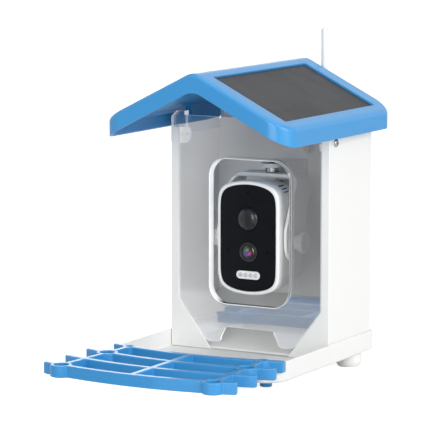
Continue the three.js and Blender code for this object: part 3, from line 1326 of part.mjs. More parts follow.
/** Knuckle: a socket that turns on the barrel, and two cheeks for the whip's tongue. */
function makeAntennaKnuckle(group) {
  const start = HOUSE_DEPTH + SEAT_GAP + ANTENNA_NUT_HEIGHT + SEAT_GAP;
  const radius = KNUCKLE_DIAMETER / 2;
  const end = antennaBack + radius;
  const drum = turnedAlongY(rod(KNUCKLE_DIAMETER, start, end), 24);
  const roundEnd = turnedAlongX(rod(KNUCKLE_DIAMETER, -radius - OVERRUN, radius + OVERRUN), 24);
  roundEnd.translate(0, antennaBack, 0);
  const squareEnd = block(-radius, radius, start - OVERRUN, antennaBack, -radius, radius);
  const socket = turnedAlongY(rod(BARREL_HOLE, start - OVERRUN, HOUSE_DEPTH + BARREL_REACH + SEAT_GAP), 20);
  const half = KNUCKLE_TONGUE / 2 + SEAT_GAP;
  const slotFrom = antennaBack - ANTENNA_ROOT_DIAMETER / 2 - RUNNING_GAP;
  const slot = block(-half, half, slotFrom, end + OVERRUN, -radius - OVERRUN, radius + OVERRUN);
  const pinBore = KNUCKLE_PIN_DIAMETER + 2 * SEAT_GAP;
  const pinHole = turnedAlongX(rod(pinBore, -radius - OVERRUN, radius + OVERRUN), 12);
  pinHole.translate(0, antennaBack, 0);
  const rounded = solid(drum).intersect(join(roundEnd, squareEnd));
  const body = shape(cut(rounded, socket, slot, pinHole));
  addPiece(group, 'antenna_knuckle', body.translate(ANTENNA_SIDE, 0, antennaHeight), 'whitePlastic');
  const pinHalf = radius * 0.85;
  const pin = turnedAlongX(rod(KNUCKLE_PIN_DIAMETER, -pinHalf, pinHalf), 12);
  addPiece(group, 'antenna_pin', weld(pin.translate(ANTENNA_SIDE, antennaBack, antennaHeight)), 'chrome');
}

/** Whip: a flat tongue in the knuckle, then a slim round rod with a domed tip. */
function makeAntennaWhip(group) {
  const root = ANTENNA_ROOT_DIAMETER / 2;
  const tip = ANTENNA_TIP_DIAMETER / 2;
  const neck = KNUCKLE_DIAMETER / 2 + RUNNING_GAP;
  const tongueShape = new THREE.Shape();
  tongueShape.moveTo(root, 0);
  tongueShape.lineTo(root, neck + OVERRUN);
  tongueShape.lineTo(-root, neck + OVERRUN);
  tongueShape.absarc(0, 0, root, Math.PI, 2 * Math.PI, false);
  const tongue = sideways(tongueShape, -KNUCKLE_TONGUE / 2, KNUCKLE_TONGUE, 8);
  const rodProfile = [[0, neck], [root, neck], [root, neck + KNUCKLE_DIAMETER], [tip, ANTENNA_LENGTH / 2]];
  const steps = 4;
  for (let step = 0; step <= steps; step += 1) {
    const angle = step / steps * Math.PI / 2;
    rodProfile.push([tip * Math.cos(angle), ANTENNA_LENGTH - tip + tip * Math.sin(angle)]);
  }
  const rodBody = turned(rodProfile, 18);
  const pinHole = turnedAlongX(rod(KNUCKLE_PIN_DIAMETER + 2 * SEAT_GAP, -KNUCKLE_TONGUE, KNUCKLE_TONGUE), 12);
  const whip = shape(cut(join(tongue, rodBody), pinHole));
  addPiece(group, 'antenna_whip', whip.translate(ANTENNA_SIDE, antennaBack, antennaHeight), 'whitePlastic');
}

/** The whole feeder, standing on its feet, centred in width and depth. */
function makeFeeder() {
  const feeder = new THREE.Group();
  makeBaseTray(feeder);
  makeFeet(feeder);
  makeHouseBody(feeder);
  makeSeedRamp(feeder);
  makeFrontWindow(feeder);
  makePivotScrews(feeder);
  makePerch(feeder);
  makeRoofShell(feeder);
  makeSolarPanel(feeder);
  makeCamera(feeder);
  makeYoke(feeder);
  makeTiltKnobs(feeder);
  makeYokeScrew(feeder);
  makeHanger(feeder);
  makeAntennaBarrel(feeder);
  makeAntennaNut(feeder);
  makeAntennaKnuckle(feeder);
  makeAntennaWhip(feeder);
  const extent = new THREE.Box3().setFromObject(feeder);
  feeder.position.set(0, -(extent.min.y + extent.max.y) / 2, -extent.min.z);
  return feeder;
}

export default makeFeeder();
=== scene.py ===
"""Looks of a smart bird feeder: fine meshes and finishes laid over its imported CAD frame.

Sizes are in millimetres and the scene in metres, +Z up, +X to the feeder's right seen from its front.
The meshes are drawn with the front of the house at Y = 0 and are moved to the frame's place at the end.
"""

import json
import logging
import math
from dataclasses import dataclass
from enum import Enum
from functools import cached_property
from typing import Any, Sequence

import bmesh
import bpy
from mathutils import Matrix, Vector
from mathutils.geometry import delaunay_2d_cdt

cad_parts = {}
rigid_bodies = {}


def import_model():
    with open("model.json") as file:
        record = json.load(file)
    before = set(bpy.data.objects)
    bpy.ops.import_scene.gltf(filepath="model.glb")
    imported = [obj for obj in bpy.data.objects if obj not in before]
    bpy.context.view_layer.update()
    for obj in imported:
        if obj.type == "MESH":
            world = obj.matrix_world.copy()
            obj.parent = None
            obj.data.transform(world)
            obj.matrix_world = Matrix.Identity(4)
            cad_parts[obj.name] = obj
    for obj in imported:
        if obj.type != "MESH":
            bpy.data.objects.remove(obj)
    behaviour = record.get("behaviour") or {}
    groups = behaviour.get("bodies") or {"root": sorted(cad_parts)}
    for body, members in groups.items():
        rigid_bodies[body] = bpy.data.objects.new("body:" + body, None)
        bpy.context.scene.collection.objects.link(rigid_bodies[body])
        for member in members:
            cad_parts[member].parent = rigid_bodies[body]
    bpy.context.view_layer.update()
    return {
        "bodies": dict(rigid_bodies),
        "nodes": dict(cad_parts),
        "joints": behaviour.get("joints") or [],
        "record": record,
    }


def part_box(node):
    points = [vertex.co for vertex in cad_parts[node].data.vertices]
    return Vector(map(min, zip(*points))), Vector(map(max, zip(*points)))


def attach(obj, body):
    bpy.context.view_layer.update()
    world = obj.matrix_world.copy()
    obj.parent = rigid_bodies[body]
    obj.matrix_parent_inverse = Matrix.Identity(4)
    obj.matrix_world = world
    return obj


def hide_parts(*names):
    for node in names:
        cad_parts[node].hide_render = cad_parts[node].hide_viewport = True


LOG = logging.getLogger("feeder")
MM = 0.001

Point = tuple[float, float]
Spot = tuple[float, float, float]
Colour = tuple[float, float, float, float]
Stops = tuple[tuple[float, str], ...]
Piece = bpy.types.Object
Socket = bpy.types.NodeSocket

SIDES = ((-1, "left"), (1, "right"))
CORE = 0.01  # radius at which a turned profile meets its axis
OVERRUN = 2.0  # how far a cutting tool reaches past the piece
HAIR = 0.01  # keeps faces or corners of joined shapes from falling together
SCALE = 3  # the scale input of a Vector Math node
MIX_A, MIX_B, MIX_OUT = 6, 7, 2  # the colour inputs and the colour output of a Mix node
WELD = 0.002  # corners nearer than this become one
FLAT = 0.5  # faces at less than this many degrees count as one face
CREASE = 32.0  # edges sharper than this many degrees are rounded or stay crisp
NORMAL_WEIGHT = 50

# Sizes that several sub-assemblies share.
GAP = 0.3  # clearance between pieces
TRAY_FLOOR = 3.0
ROOF_SLOPE = 0.5
RIDGE_ROUND = 8.0  # how far the ridge's rounding reaches to each side
HOUSE_WALL = 3.0
BLOCK_RISE = 15.5  # from the top of the side walls to the top of the panel's blocks
FUNNEL_RISE = 46.4
FUNNEL_FOOT = 41.5  # half the funnel's width at its foot
HINGE_BACK = 12.5  # the panel's hinge: its place behind the house's front and below the side walls' top
HINGE_DROP = 8.3
HINGE_BORE = 4.0
PERCH_AHEAD = 103.5  # the perch's rear bar and pegs: ahead of the house and to each side
PERCH_REAR_HALF = 70.5


def srgb(code: str) -> Colour:
    """Turns a written colour into the linear one that a shader takes.

    Args:
        code: six hexadecimal digits, red, green and blue.

    Returns:
        Linear red, green and blue, with full opacity.
    """
    parts = [int(code[place:place + 2], 16) / 255 for place in (0, 2, 4)]
    linear = [part / 12.92 if part <= 0.04045 else ((part + 0.055) / 1.055) ** 2.4 for part in parts]
    return (linear[0], linear[1], linear[2], 1.0)


class Wiring:
    """The node tree of a material or of the world while it is filled."""

    def __init__(self, owner: Any) -> None:
        """Starts from an empty tree.

        Args:
            owner: the material or the world.
        """
        owner.use_nodes = True
        self.tree = owner.node_tree
        self.tree.nodes.clear()

    def add(self, kind: str, inputs: dict[Any, Any] | None = None, **settings: Any) -> bpy.types.Node:
        """Adds one node, with its settings and what feeds its inputs.

        Args:
            kind: Blender's name for the node type.
            inputs: input names or numbers, each with a value or with the socket that is linked to it.
            settings: properties of the node itself.

        Returns:
            The new node.
        """
        node = self.tree.nodes.new(kind)
        for name, value in settings.items():
            setattr(node, name, value)
        for name, value in (inputs or {}).items():
            if isinstance(value, Socket):
                self.tree.links.new(value, node.inputs[name])
            else:
                node.inputs[name].default_value = value
        return node

    @cached_property
    def place(self) -> Socket:
        """The place on the piece in millimetres."""
        own = self.add("ShaderNodeTexCoord").outputs["Object"]
        return self.add("ShaderNodeVectorMath", {0: own, SCALE: 1 / MM}, operation="SCALE").outputs["Vector"]

    def ray(self, kind: str) -> Socket:
        """Tells one kind of ray from the others: 1 for it and 0 for them."""
        return self.add("ShaderNodeLightPath").outputs[f"Is {kind} Ray"]

    def math(self, operation: str, *values: Any) -> Socket:
        """Reckons with numbers, or with what feeds them, by Blender's name for the operation."""
        return self.add("ShaderNodeMath", dict(enumerate(values)), operation=operation).outputs["Value"]

    def vector(self, operation: str, *values: Any) -> bpy.types.Node:
        """Reckons with vectors and gives the node, whose output is a vector or a value."""
        return self.add("ShaderNodeVectorMath", dict(enumerate(values)), operation=operation)

    def split(self, vector: Socket) -> dict[str, Socket]:
        """Takes a vector apart into its three numbers, by axis."""
        node = self.add("ShaderNodeSeparateXYZ", {"Vector": vector})
        return {axis: node.outputs[axis] for axis in "XYZ"}

    def spread(self, value: Socket, low: Any = 0.0, high: Any = 1.0, start: float = 0.0,
               end: float = 1.0) -> Socket:
        """Spreads a value over a range and stops at the range's ends.

        Args:
            value: the value.
            low: what the start becomes.
            high: what the end becomes.
            start: the value's own start.
            end: the value's own end.

        Returns:
            The spread value.
        """
        node = self.add("ShaderNodeMapRange", {
            "Value": value, "From Min": start, "From Max": end, "To Min": low, "To Max": high})
        return node.outputs["Result"]

    def noise(self, size: float, detail: float = 2.0) -> Socket:
        """Noise from 0 to 1 whose features have a size in millimetres, with finer layers on them."""
        node = self.add("ShaderNodeTexNoise", {"Vector": self.place, "Scale": 1 / size, "Detail": detail})
        return node.outputs["Fac"]

    def relief(self, height: Socket, depth: float) -> Socket:
        """Turns a height from 0 to 1 into the normal of a relief, whose depth is in millimetres."""
        return self.add("ShaderNodeBump", {"Height": height, "Distance": depth * MM}).outputs["Normal"]

    def ramp(self, factor: Socket, stops: Stops) -> Socket:
        """Adds a colour ramp.

        Args:
            factor: what runs along the ramp.
            stops: places from 0 to 1 with their written colours.

        Returns:
            The ramp's colour.
        """
        node = self.add("ShaderNodeValToRGB", {"Fac": factor})
        elements = node.color_ramp.elements
        for number, (place, colour) in enumerate(stops):
            element = elements[number] if number < 2 else elements.new(place)
            element.position = place
            element.color = srgb(colour)
        return node.outputs["Color"]

    def body(self, inputs: dict[str, Any]) -> Socket:
        """Adds a principled shader with what feeds it."""
        return self.add("ShaderNodeBsdfPrincipled", inputs).outputs["BSDF"]

    def mix(self, share: Any, first: Socket, second: Socket) -> Socket:
        """Mixes two shaders: the share is how far the mix goes to the second."""
        return self.add("ShaderNodeMixShader", {0: share, 1: first, 2: second}).outputs["Shader"]


@dataclass(frozen=True)
class Finish:
    """A material of the feeder: what it is, its colour and how rough its surface was left."""

    label: str
    colour: str
    roughness: float

    def make(self) -> bpy.types.Material:
        """Builds the material.

        Returns:
            A material whose surface comes from this finish's wiring.
        """
        material = bpy.data.materials.new(self.label)
        nodes = Wiring(material)
        nodes.add("ShaderNodeOutputMaterial", {"Surface": self.wire(nodes)})
        return material

    def wire(self, nodes: Wiring) -> Socket:
        """Wires the surface.

        Args:
            nodes: the material's wiring.

        Returns:
            The surface shader.
        """
        raise NotImplementedError

    def tone(self, nodes: Wiring, amount: Socket, other: str) -> Socket:
        """Blends the finish's colour towards another by an amount from 0 to 1."""
        return nodes.ramp(amount, ((0.0, self.colour), (1.0, other)))


@dataclass(frozen=True)
class MouldedPlastic(Finish):
    """Injection-moulded plastic from a spark-eroded tool.

    The fine grain breaks reflections into a broad satin sheen, and the colour is even but for a trace of
    flow in the melt.
    """

    flow_colour: str
    flow: float = 38.0
    grain: float = 0.45
    grain_depth: float = 0.006
    uneven: float = 0.05

    def wire(self, nodes: Wiring) -> Socket:
        """Wires even colour, a fine grain drawn coarser than the real 0.1 mm, and a satin sheen.

        Args:
            nodes: the material's wiring.

        Returns:
            The surface shader.
        """
        grain = nodes.noise(self.grain)
        return nodes.body({
            "Base Color": self.tone(nodes, nodes.noise(self.flow), self.flow_colour),
            "Roughness": nodes.spread(grain, self.roughness - self.uneven, self.roughness + self.uneven),
            "IOR": 1.53,
            "Normal": nodes.relief(grain, self.grain_depth),
        })


@dataclass(frozen=True)
class ClearAcrylic(Finish):
    """Injection-moulded acrylic with a thin half-mirror film against glare, and painted light on its edges and
    foot.

    The film mirrors the perch and the room, so the panel looks silvery from outside. Inner faces on the left
    half that face right, and the slanted faces round the opening, carry a painted highlight: a milky layer
    with a painted glow. Edges that face up carry painted shade, a dark layer. The foot carries a painted
    veil, a milky layer that fades out upwards.
    """

    # painted highlight colour, and the strength of the painted glow that goes with it
    edge_colour: str
    edge_glow: float
    film_colour: str
    film: float
    lamp_colour: str
    # colour of the painted shade on edges that face up
    dark_colour: str = "1c1d1f"
    wave: float = 24.0
    # facing ranges of the painted highlight on side faces, the painted shade on tops and the painted highlight
    # lines
    sideways: Point = (0.3, 0.7)
    upwards: Point = (0.6, 0.9)
    slanted: Point = (-0.55, 0.32)
    # the painted veil at the foot: the heights over which it fades, and its share along them
    haze_heights: Point = (30.0, 80.0)
    haze: Stops = ((0.16, "828282"), (0.34, "555555"), (0.76, "595959"), (0.92, "000000"))

    def wire(self, nodes: Wiring) -> Socket:
        """Wires clear faces under a film, painted highlight and glow on some edges, painted shade on edges that
        face up, a painted veil at the foot, and a tinted filter for the lamps' light.

        Args:
            nodes: the material's wiring.

        Returns:
            The surface shader.
        """
        wave = nodes.noise(self.wave)
        gloss = nodes.spread(wave, self.roughness, 2 * self.roughness)
        surface = nodes.body({
            "Base Color": srgb(self.colour), "Roughness": gloss, "IOR": 1.49, "Transmission Weight": 1.0})
        mirror = nodes.body({"Base Color": srgb(self.film_colour), "Roughness": gloss, "Metallic": 1.0})
        # painted highlight: a milky layer that glows
        milky = nodes.body({
            "Base Color": self.tone(nodes, wave, self.edge_colour), "Roughness": 0.4, "IOR": 1.49,
            "Emission Color": srgb(self.edge_colour), "Emission Strength": self.edge_glow})
        # painted shade: a dark layer for edges that face up
        dark = nodes.body({"Base Color": srgb(self.dark_colour), "Roughness": 0.3, "IOR": 1.49})
        facing = nodes.split(nodes.add("ShaderNodeNewGeometry").outputs["True Normal"])
        where = nodes.split(nodes.place)
        left = nodes.math("LESS_THAN", where["X"], 0.0)
        # painted highlight on inner faces of the left half that face right
        aside = nodes.spread(facing["X"], 0.0, left, *self.sideways)
        # share of painted shade, by how far a face looks up
        upward = nodes.spread(facing["Z"], 0.0, 1.0, *self.upwards)
        # painted highlight lines on the slanted faces round the opening
        bevel = nodes.math("COMPARE", facing["Y"], *self.slanted)
        # painted veil: a milky layer, strongest at the foot
        haze = nodes.ramp(nodes.spread(where["Z"], 0.0, 1.0, *self.haze_heights), self.haze)
        for share, layer in (
                (self.film, mirror), (haze, milky), (upward, dark), (bevel, milky), (aside, milky)):
            surface = nodes.mix(share, surface, layer)
        filtered = nodes.add("ShaderNodeBsdfTransparent", {"Color": srgb(self.lamp_colour)})
        return nodes.mix(nodes.ray("Shadow"), surface, filtered.outputs["BSDF"])


@dataclass(frozen=True)
class Mottled(Finish):
    """A finish whose colour, roughness and relief follow one noise over the piece."""

    other_colour: str
    mottle: float = 1.4
    detail: float = 2.0
    rougher: Point = (0.0, 0.04)
    refraction: float = 1.5
    relief: float = 0.0
    more: tuple[tuple[str, Any], ...] = ()

    def wire(self, nodes: Wiring) -> Socket:
        """Wires the noise and what else the finish has.

        Args:
            nodes: the material's wiring.

        Returns:
            The surface shader.
        """
        mottle = nodes.noise(self.mottle, self.detail)
        low, high = (self.roughness + change for change in self.rougher)
        inputs = {"Base Color": self.tone(nodes, mottle, self.other_colour),
                  "Roughness": nodes.spread(mottle, low, high), "IOR": self.refraction, **dict(self.more)}
        if self.relief:
            inputs["Normal"] = nodes.relief(mottle, self.relief)
        return nodes.body(inputs)


@dataclass(frozen=True)
class GlossPlate(Mottled):
    """Black polycarbonate from a mirror-polished tool.

    Nearly all light that the eye gets from it is a clear reflection, so the plate reads as dark glass.
    """

    mottle: float = 16.0
    refraction: float = 1.58
    more: tuple[tuple[str, Any], ...] = (("Specular IOR Level", 0.12),)


@dataclass(frozen=True)
class MilkyPlastic(Mottled):
    """Moulded diffuser plastic or a lamp's phosphor under its clear cap.

    Light goes a little way in and comes back, so it looks soft and slightly bright at its edges.
    """

    mottle: float = 3.0
    rougher: Point = (0.0, 0.08)
    more: tuple[tuple[str, Any], ...] = (
        ("Subsurface Weight", 0.3), ("Subsurface Radius", (1.0, 1.0, 1.0)), ("Subsurface Scale", 1.2 * MM))


@dataclass(frozen=True)
class Rubber(Mottled):
    """Moulded silicone or rubber with a dusty, matt skin.

    It takes light without any clear reflection and shows a faint mottle.
    """

    detail: float = 4.0
    rougher: Point = (-0.08, 0.05)
    refraction: float = 1.42
    relief: float = 0.02


@dataclass(frozen=True)
class SensorDome(Finish):
    """Smoked polyethylene dome moulded with small lens facets on its inside.

    It looks dark and slightly milky, and the facets show as a faint net under the smooth skin.
    """

    net_colour: str
    facet: float = 2.4

    def wire(self, nodes: Wiring) -> Socket:
        """Wires a net of facets under a smooth dark skin.

        Args:
            nodes: the material's wiring.

        Returns:
            The surface shader.
        """
        cells = nodes.add("ShaderNodeTexVoronoi", {
            "Vector": nodes.place, "Scale": 1 / self.facet, "Randomness": 0.15}, feature="DISTANCE_TO_EDGE")
        edge = nodes.spread(cells.outputs["Distance"], 1.0, 0.0)
        return nodes.body({
            "Base Color": self.tone(nodes, edge, self.net_colour),
            "Roughness": self.roughness,
            "IOR": 1.51,
            "Specular IOR Level": 0.3,
            "Coat Weight": 0.15,
            "Coat Roughness": 0.08,
            "Normal": nodes.relief(edge, 0.05),
        })


@dataclass(frozen=True)
class CoatedLens(Finish):
    """Ground glass front lens with an anti-reflection coating over a dark iris.

    The coating's coloured reflections are painted into the base colour: wedges of blue, magenta, red and green
    about the lens axis, times painted reflection rings with a bright ring near the middle, dark at the rim.
    """

    axis_height: float
    radius: float
    # painted reflections of the coating, by angle about the lens axis
    sectors: Stops = (
        (0.0, "1d3f9c"), (0.14, "3a1fb8"), (0.3, "b03fd0"), (0.42, "e0407a"), (0.54, "a02a30"),
        (0.66, "5c3a22"), (0.78, "49b455"), (0.9, "1f8a6a"), (1.0, "1d3f9c"))
    # painted reflection rings by distance from the lens axis, with a painted bright ring
    rings: Stops = (
        (0.0, "6a6a6a"), (0.28, "ffffff"), (0.5, "c8c8c8"), (0.62, "3a3a3a"), (0.78, "4c4c50"),
        (0.88, "08080a"))

    def wire(self, nodes: Wiring) -> Socket:
        """Wires painted reflections: wedges of colour about the lens axis times painted reflection rings, dark
        at the rim, below a sharp coat.

        Args:
            nodes: the material's wiring.

        Returns:
            The surface shader.
        """
        middle = nodes.vector("SUBTRACT", nodes.place, (0.0, 0.0, self.axis_height)).outputs["Vector"]
        parts = nodes.split(middle)
        turn = nodes.math("ARCTAN2", parts["Z"], parts["X"])
        # painted reflections by angle about the lens axis
        sectors = nodes.ramp(nodes.spread(turn, 0.0, 1.0, -math.pi, math.pi), self.sectors)
        flat = nodes.vector("MULTIPLY", middle, (1.0, 0.0, 1.0)).outputs["Vector"]
        reach = nodes.spread(nodes.vector("LENGTH", flat).outputs["Value"], end=self.radius)
        # times the painted reflection rings
        colour = nodes.add("ShaderNodeMix", {
            "Factor": 1.0, MIX_A: sectors, MIX_B: nodes.ramp(reach, self.rings)},
            data_type="RGBA", blend_type="MULTIPLY")
        return nodes.body({
            "Base Color": colour.outputs[MIX_OUT],
            "Roughness": self.roughness,
            "IOR": 1.52,
            "Coat Weight": 1.0,
            "Coat Roughness": 0.02,
        })


@dataclass(frozen=True)
class SolarSheet(Finish):
    """Silicon cells cut in strips, laminated under a matt polymer face with an anti-glare texture.

    The dark cells give a grey-brown ground with very faint contact lines, and the matt face spreads a
    weak reflection of the sky.
    """

    other_colour: str = "28292d"
    joint_colour: str = "37383d"
    finger_colour: str = "55565b"
    strip: float = 31.0
    joint: float = 0.35
    finger: float = 2.6
    sheen: float = 30.0
    grain: float = 0.6
    uneven: float = 0.06

    def wire(self, nodes: Wiring) -> Socket:
        """Wires strips of cells, each with finger lines drawn coarser than the real 1.5 mm pitch.

        Args:
            nodes: the material's wiring.

        Returns:
            The surface shader.
        """
        grid = nodes.add("ShaderNodeTexBrick", {
            "Vector": nodes.place, "Scale": 1.0, "Mortar Size": self.joint, "Mortar Smooth": 0.4, "Bias": 0.0,
            "Brick Width": self.strip, "Row Height": self.strip * 2, "Color1": srgb(self.colour),
            "Color2": srgb(self.other_colour), "Mortar": srgb(self.joint_colour)}, offset=0.0)
        fingers = nodes.add("ShaderNodeTexWave", {
            "Vector": nodes.place, "Scale": math.pi / 10 / self.finger, "Distortion": 0.0},
            bands_direction="Y")
        line = nodes.spread(fingers.outputs["Fac"], 0.0, 0.12, 0.9, 1.0)
        colour = nodes.add("ShaderNodeMix", {
            "Factor": line, MIX_A: grid.outputs["Color"], MIX_B: srgb(self.finger_colour)}, data_type="RGBA")
        return nodes.body({
            "Base Color": colour.outputs[MIX_OUT],
            "Roughness": nodes.spread(nodes.noise(self.sheen), self.roughness - self.uneven,
                                      self.roughness + self.uneven),
            "IOR": 1.45,
            "Specular IOR Level": 0.2,
            "Normal": nodes.relief(nodes.noise(self.grain), 0.01),
        })


@dataclass(frozen=True)
class Metal(Finish):
    """Turned metal, plated and polished or left as it came off the lathe.

    It shows the room as a bright, slightly streaked reflection.
    """

    streak: float = 0.8

    def wire(self, nodes: Wiring) -> Socket:
        """Wires a metal whose roughness varies along fine tool marks.

        Args:
            nodes: the material's wiring.

        Returns:
            The surface shader.
        """
        marks = nodes.noise(self.streak, 4.0)
        return nodes.body({
            "Base Color": srgb(self.colour),
            "Metallic": 1.0,
            "Roughness": nodes.spread(marks, self.roughness - 0.04, self.roughness + 0.06),
            "Normal": nodes.relief(marks, 0.004),
        })


@dataclass(frozen=True)
class CircuitBoard(Finish):
    """Glass-fibre board under green solder mask.

    Copper tracks show through the mask as a lighter net, and the mask has a slight gloss.
    """

    track_colour: str
    track: float = 1.8

    def wire(self, nodes: Wiring) -> Socket:
        """Wires a net of tracks under a glossy mask.

        Args:
            nodes: the material's wiring.

        Returns:
            The surface shader.
        """
        cells = nodes.add("ShaderNodeTexVoronoi", {"Vector": nodes.place, "Scale": 1 / self.track},
                          feature="DISTANCE_TO_EDGE", distance="MANHATTAN")
        net = nodes.spread(cells.outputs["Distance"], 1.0, 0.0, end=0.16)
        return nodes.body({
            "Base Color": self.tone(nodes, net, self.track_colour),
            "Roughness": self.roughness,
            "IOR": 1.55,
            "Normal": nodes.relief(net, 0.03),
        })


LENS_AXIS_HEIGHT = 114.1
LENS_RADIUS = 6.75


class Slot(Enum):
    """The record's material slots with the finish that each gets, and light grey ABS beside them, whose grey on
    the hanger is painted shade.

    What a finish gives the eye is said where its class is.
    """

    WHITE_ABS = MouldedPlastic("White ABS, moulded satin", "f1f1ef", 0.42, "ededeb")
    BLUE_ABS = MouldedPlastic("Blue ABS, moulded satin", "3894d2", 0.3, "3590ce")
    # the clear panel, with painted highlight, glow, shade and veil on its edges and foot
    CLEAR_ACRYLIC = ClearAcrylic("Clear acrylic, half-mirror film", "e8e9ea", 0.004, edge_colour="f4f5f6",
                                 edge_glow=0.45, film_colour="f0f1f3", film=0.32, lamp_colour="bcbdbf")
    BLACK_GLOSS = GlossPlate("Black polycarbonate, mirror polished", "0d0e11", 0.05, "15171c")
    SMOKE_DOME = SensorDome("Smoked polyethylene, moulded facets", "131417", 0.16, "26272b")
    BLACK_PLASTIC = MouldedPlastic("Black ABS, moulded", "1b1b1d", 0.45, "202022")
    LENS_GLASS = CoatedLens("Lens glass, coated", "101018", 0.03, LENS_AXIS_HEIGHT, LENS_RADIUS)
    LED_WINDOW = MilkyPlastic("Diffuser plastic, moulded", "f0f1f2", 0.25, "f6f7f8")
    LED = MilkyPlastic("Lamp cap over phosphor, silicone", "c6c7c6", 0.12, "cfceca")
    SOLAR_CELL = SolarSheet("Silicon cells, cut in strips", "26272c", 0.35)
    SOLAR_LAMINATE = SolarSheet("Solar laminate, matt face", "2b2c31", 0.42)
    CIRCUIT_BOARD = CircuitBoard("Circuit board, green mask", "1b5a33", 0.35, "3d7d4c")
    BATTERY_CAN = Rubber("Battery sleeve, shrunk film", "2a5ca6", 0.4, "3467b0")
    BLACK_RUBBER = Rubber("Black rubber, moulded", "232325", 0.85, "2b2b2d")
    GREY_RUBBER = Rubber("Grey silicone, moulded", "b9bbbd", 0.75, "c4c6c8")
    CHROME = Metal("Steel, nickel and chrome plated", "a9adb1", 0.14)
    # light grey for the hanger: painted shade that darkens it over the nut
    GREY_ABS = MouldedPlastic("Light grey ABS, moulded", "cccecf", 0.5, "d0d2d3")
    BRASS = Metal("Brass, turned and nickel plated", "c6c5c2", 0.34)

    @property
    def record_name(self) -> str:
        """The slot's name in the record."""
        return self.name.lower()


# What CAD nodes that stay get besides their slot's finish: a rounding, in millimetres, or another finish.
KEPT_ROUNDINGS = {"camera_hanger": 0.3, "seed_ramp": 0.5, "antenna_knuckle": 0.2, "antenna_nut": 0.4,
                  "antenna_barrel": 0.3, "solar_junction_box": 0.8, "power_button": 0.3, "port_cover": 0.3}
# the hanger takes light grey instead of white as painted shade over the nut
KEPT_FINISHES = {"camera_hanger": Slot.GREY_ABS}


class Plane(Enum):
    """The plane that an outline is drawn in, with the way from (across, up, out) to a place."""

    LEVEL = 0
    FACING = 1
    SIDE = 2

    def place(self, across: float, up: float, out: float) -> Vector:
        """Gives the place of an outline's point.

        Args:
            across: the outline's first number.
            up: the outline's second number.
            out: distance along the plane's normal.

        Returns:
            The place in millimetres.
        """
        if self is Plane.LEVEL:
            return Vector((across, up, out))
        if self is Plane.FACING:
            return Vector((across, out, up))
        return Vector((out, across, up))


class Join(Enum):
    """What a tool does to a piece, in Blender's words."""

    ADD = "UNION"
    CUT = "DIFFERENCE"
    SHARE = "INTERSECT"


def arc(centre: Point, radius: float, start: float, end: float, steps: int = 12) -> list[Point]:
    """Points on an arc.

    Args:
        centre: the arc's centre.
        radius: its radius.
        start: first angle in degrees.
        end: last angle in degrees.
        steps: how many chords it has.

    Returns:
        The points from the first angle to the last.
    """
    angles = [math.radians(start + (end - start) * step / steps) for step in range(steps + 1)]
    return [(centre[0] + radius * math.cos(angle), centre[1] + radius * math.sin(angle)) for angle in angles]


def oval(centre: Point, reach: Point, turns: range) -> list[Point]:
    """Points of an oval.

    Args:
        centre: its centre.
        reach: how far it goes out each way; a minus mirrors it.
        turns: the points' angles in degrees.

    Returns:
        The points.
    """
    angles = [math.radians(turn) for turn in turns]
    return [(centre[0] + reach[0] * math.cos(angle), centre[1] + reach[1] * math.sin(angle))
            for angle in angles]


def quadratic(start: Point, pull: Point, end: Point, steps: int = 12) -> list[Point]:
    """Points on a curve that leaves one point and reaches another, pulled towards a third.

    Args:
        start: where the curve leaves.
        pull: the point that it bends towards.
        end: where it arrives.
        steps: how many chords it has.

    Returns:
        The points, both ends included.
    """
    points = []
    for step in range(steps + 1):
        share = step / steps
        weights = ((1 - share) ** 2, 2 * share * (1 - share), share ** 2)
        points.append((weights[0] * start[0] + weights[1] * pull[0] + weights[2] * end[0],
                       weights[0] * start[1] + weights[1] * pull[1] + weights[2] * end[1]))
    return points


def rounded_rectangle(half_width: float, half_height: float, radius: float, centre: Point = (0, 0),
                      steps: int = 12) -> list[Point]:
    """Corner points of a rectangle with round corners, anticlockwise.

    Args:
        half_width: half its width.
        half_height: half its height.
        radius: radius of its corners.
        centre: its middle.
        steps: chords on each corner.

    Returns:
        The points.
    """
    points = []
    for quarter, (side_x, side_y) in enumerate(((1, 1), (-1, 1), (-1, -1), (1, -1))):
        middle = (centre[0] + side_x * (half_width - radius), centre[1] + side_y * (half_height - radius))
        points += arc(middle, radius, quarter * 90, quarter * 90 + 90, steps)
    return points


def circle(radius: float, centre: Point = (0, 0), steps: int = 48) -> list[Point]:
    """Points on a full circle."""
    return arc(centre, radius, 0, 360, steps)[:-1]


def add_mesh(name: str, shape: bmesh.types.BMesh) -> Piece:
    """Turns a working mesh into an object of the scene.

    Args:
        name: the object's name.
        shape: the working mesh, which is freed.

    Returns:
        The object.
    """
    bmesh.ops.recalc_face_normals(shape, faces=shape.faces)
    mesh = bpy.data.meshes.new(name)
    shape.to_mesh(mesh)
    shape.free()
    piece = bpy.data.objects.new(name, mesh)
    bpy.context.scene.collection.objects.link(piece)
    return piece


def loft(name: str, rings: Sequence[Sequence[Vector]], loop: bool = False, strip: bool = False) -> Piece:
    """A skin through rings of equal count.

    Args:
        name: the object's name.
        rings: the rings in order.
        loop: whether the last ring joins the first, instead of two caps.
        strip: whether a cap is made of bands across rings that run out along one side and back.

    Returns:
        The object.
    """
    shape = bmesh.new()
    rows = [[shape.verts.new(point) for point in ring] for ring in rings]
    count = len(rings[0])
    bands = len(rows) if loop else len(rows) - 1
    for band in range(bands):
        near, far = rows[band], rows[(band + 1) % len(rows)]
        for corner in range(count):
            after = (corner + 1) % count
            shape.faces.new((near[corner], near[after], far[after], far[corner]))
    if not loop:
        for row in (rows[0], rows[-1]):
            if strip:
                for corner in range(count // 2 - 1):
                    back = count - 1 - corner
                    shape.faces.new((row[corner], row[corner + 1], row[back - 1], row[back]))
            else:
                shape.faces.new(row)
    return add_mesh(name, shape)


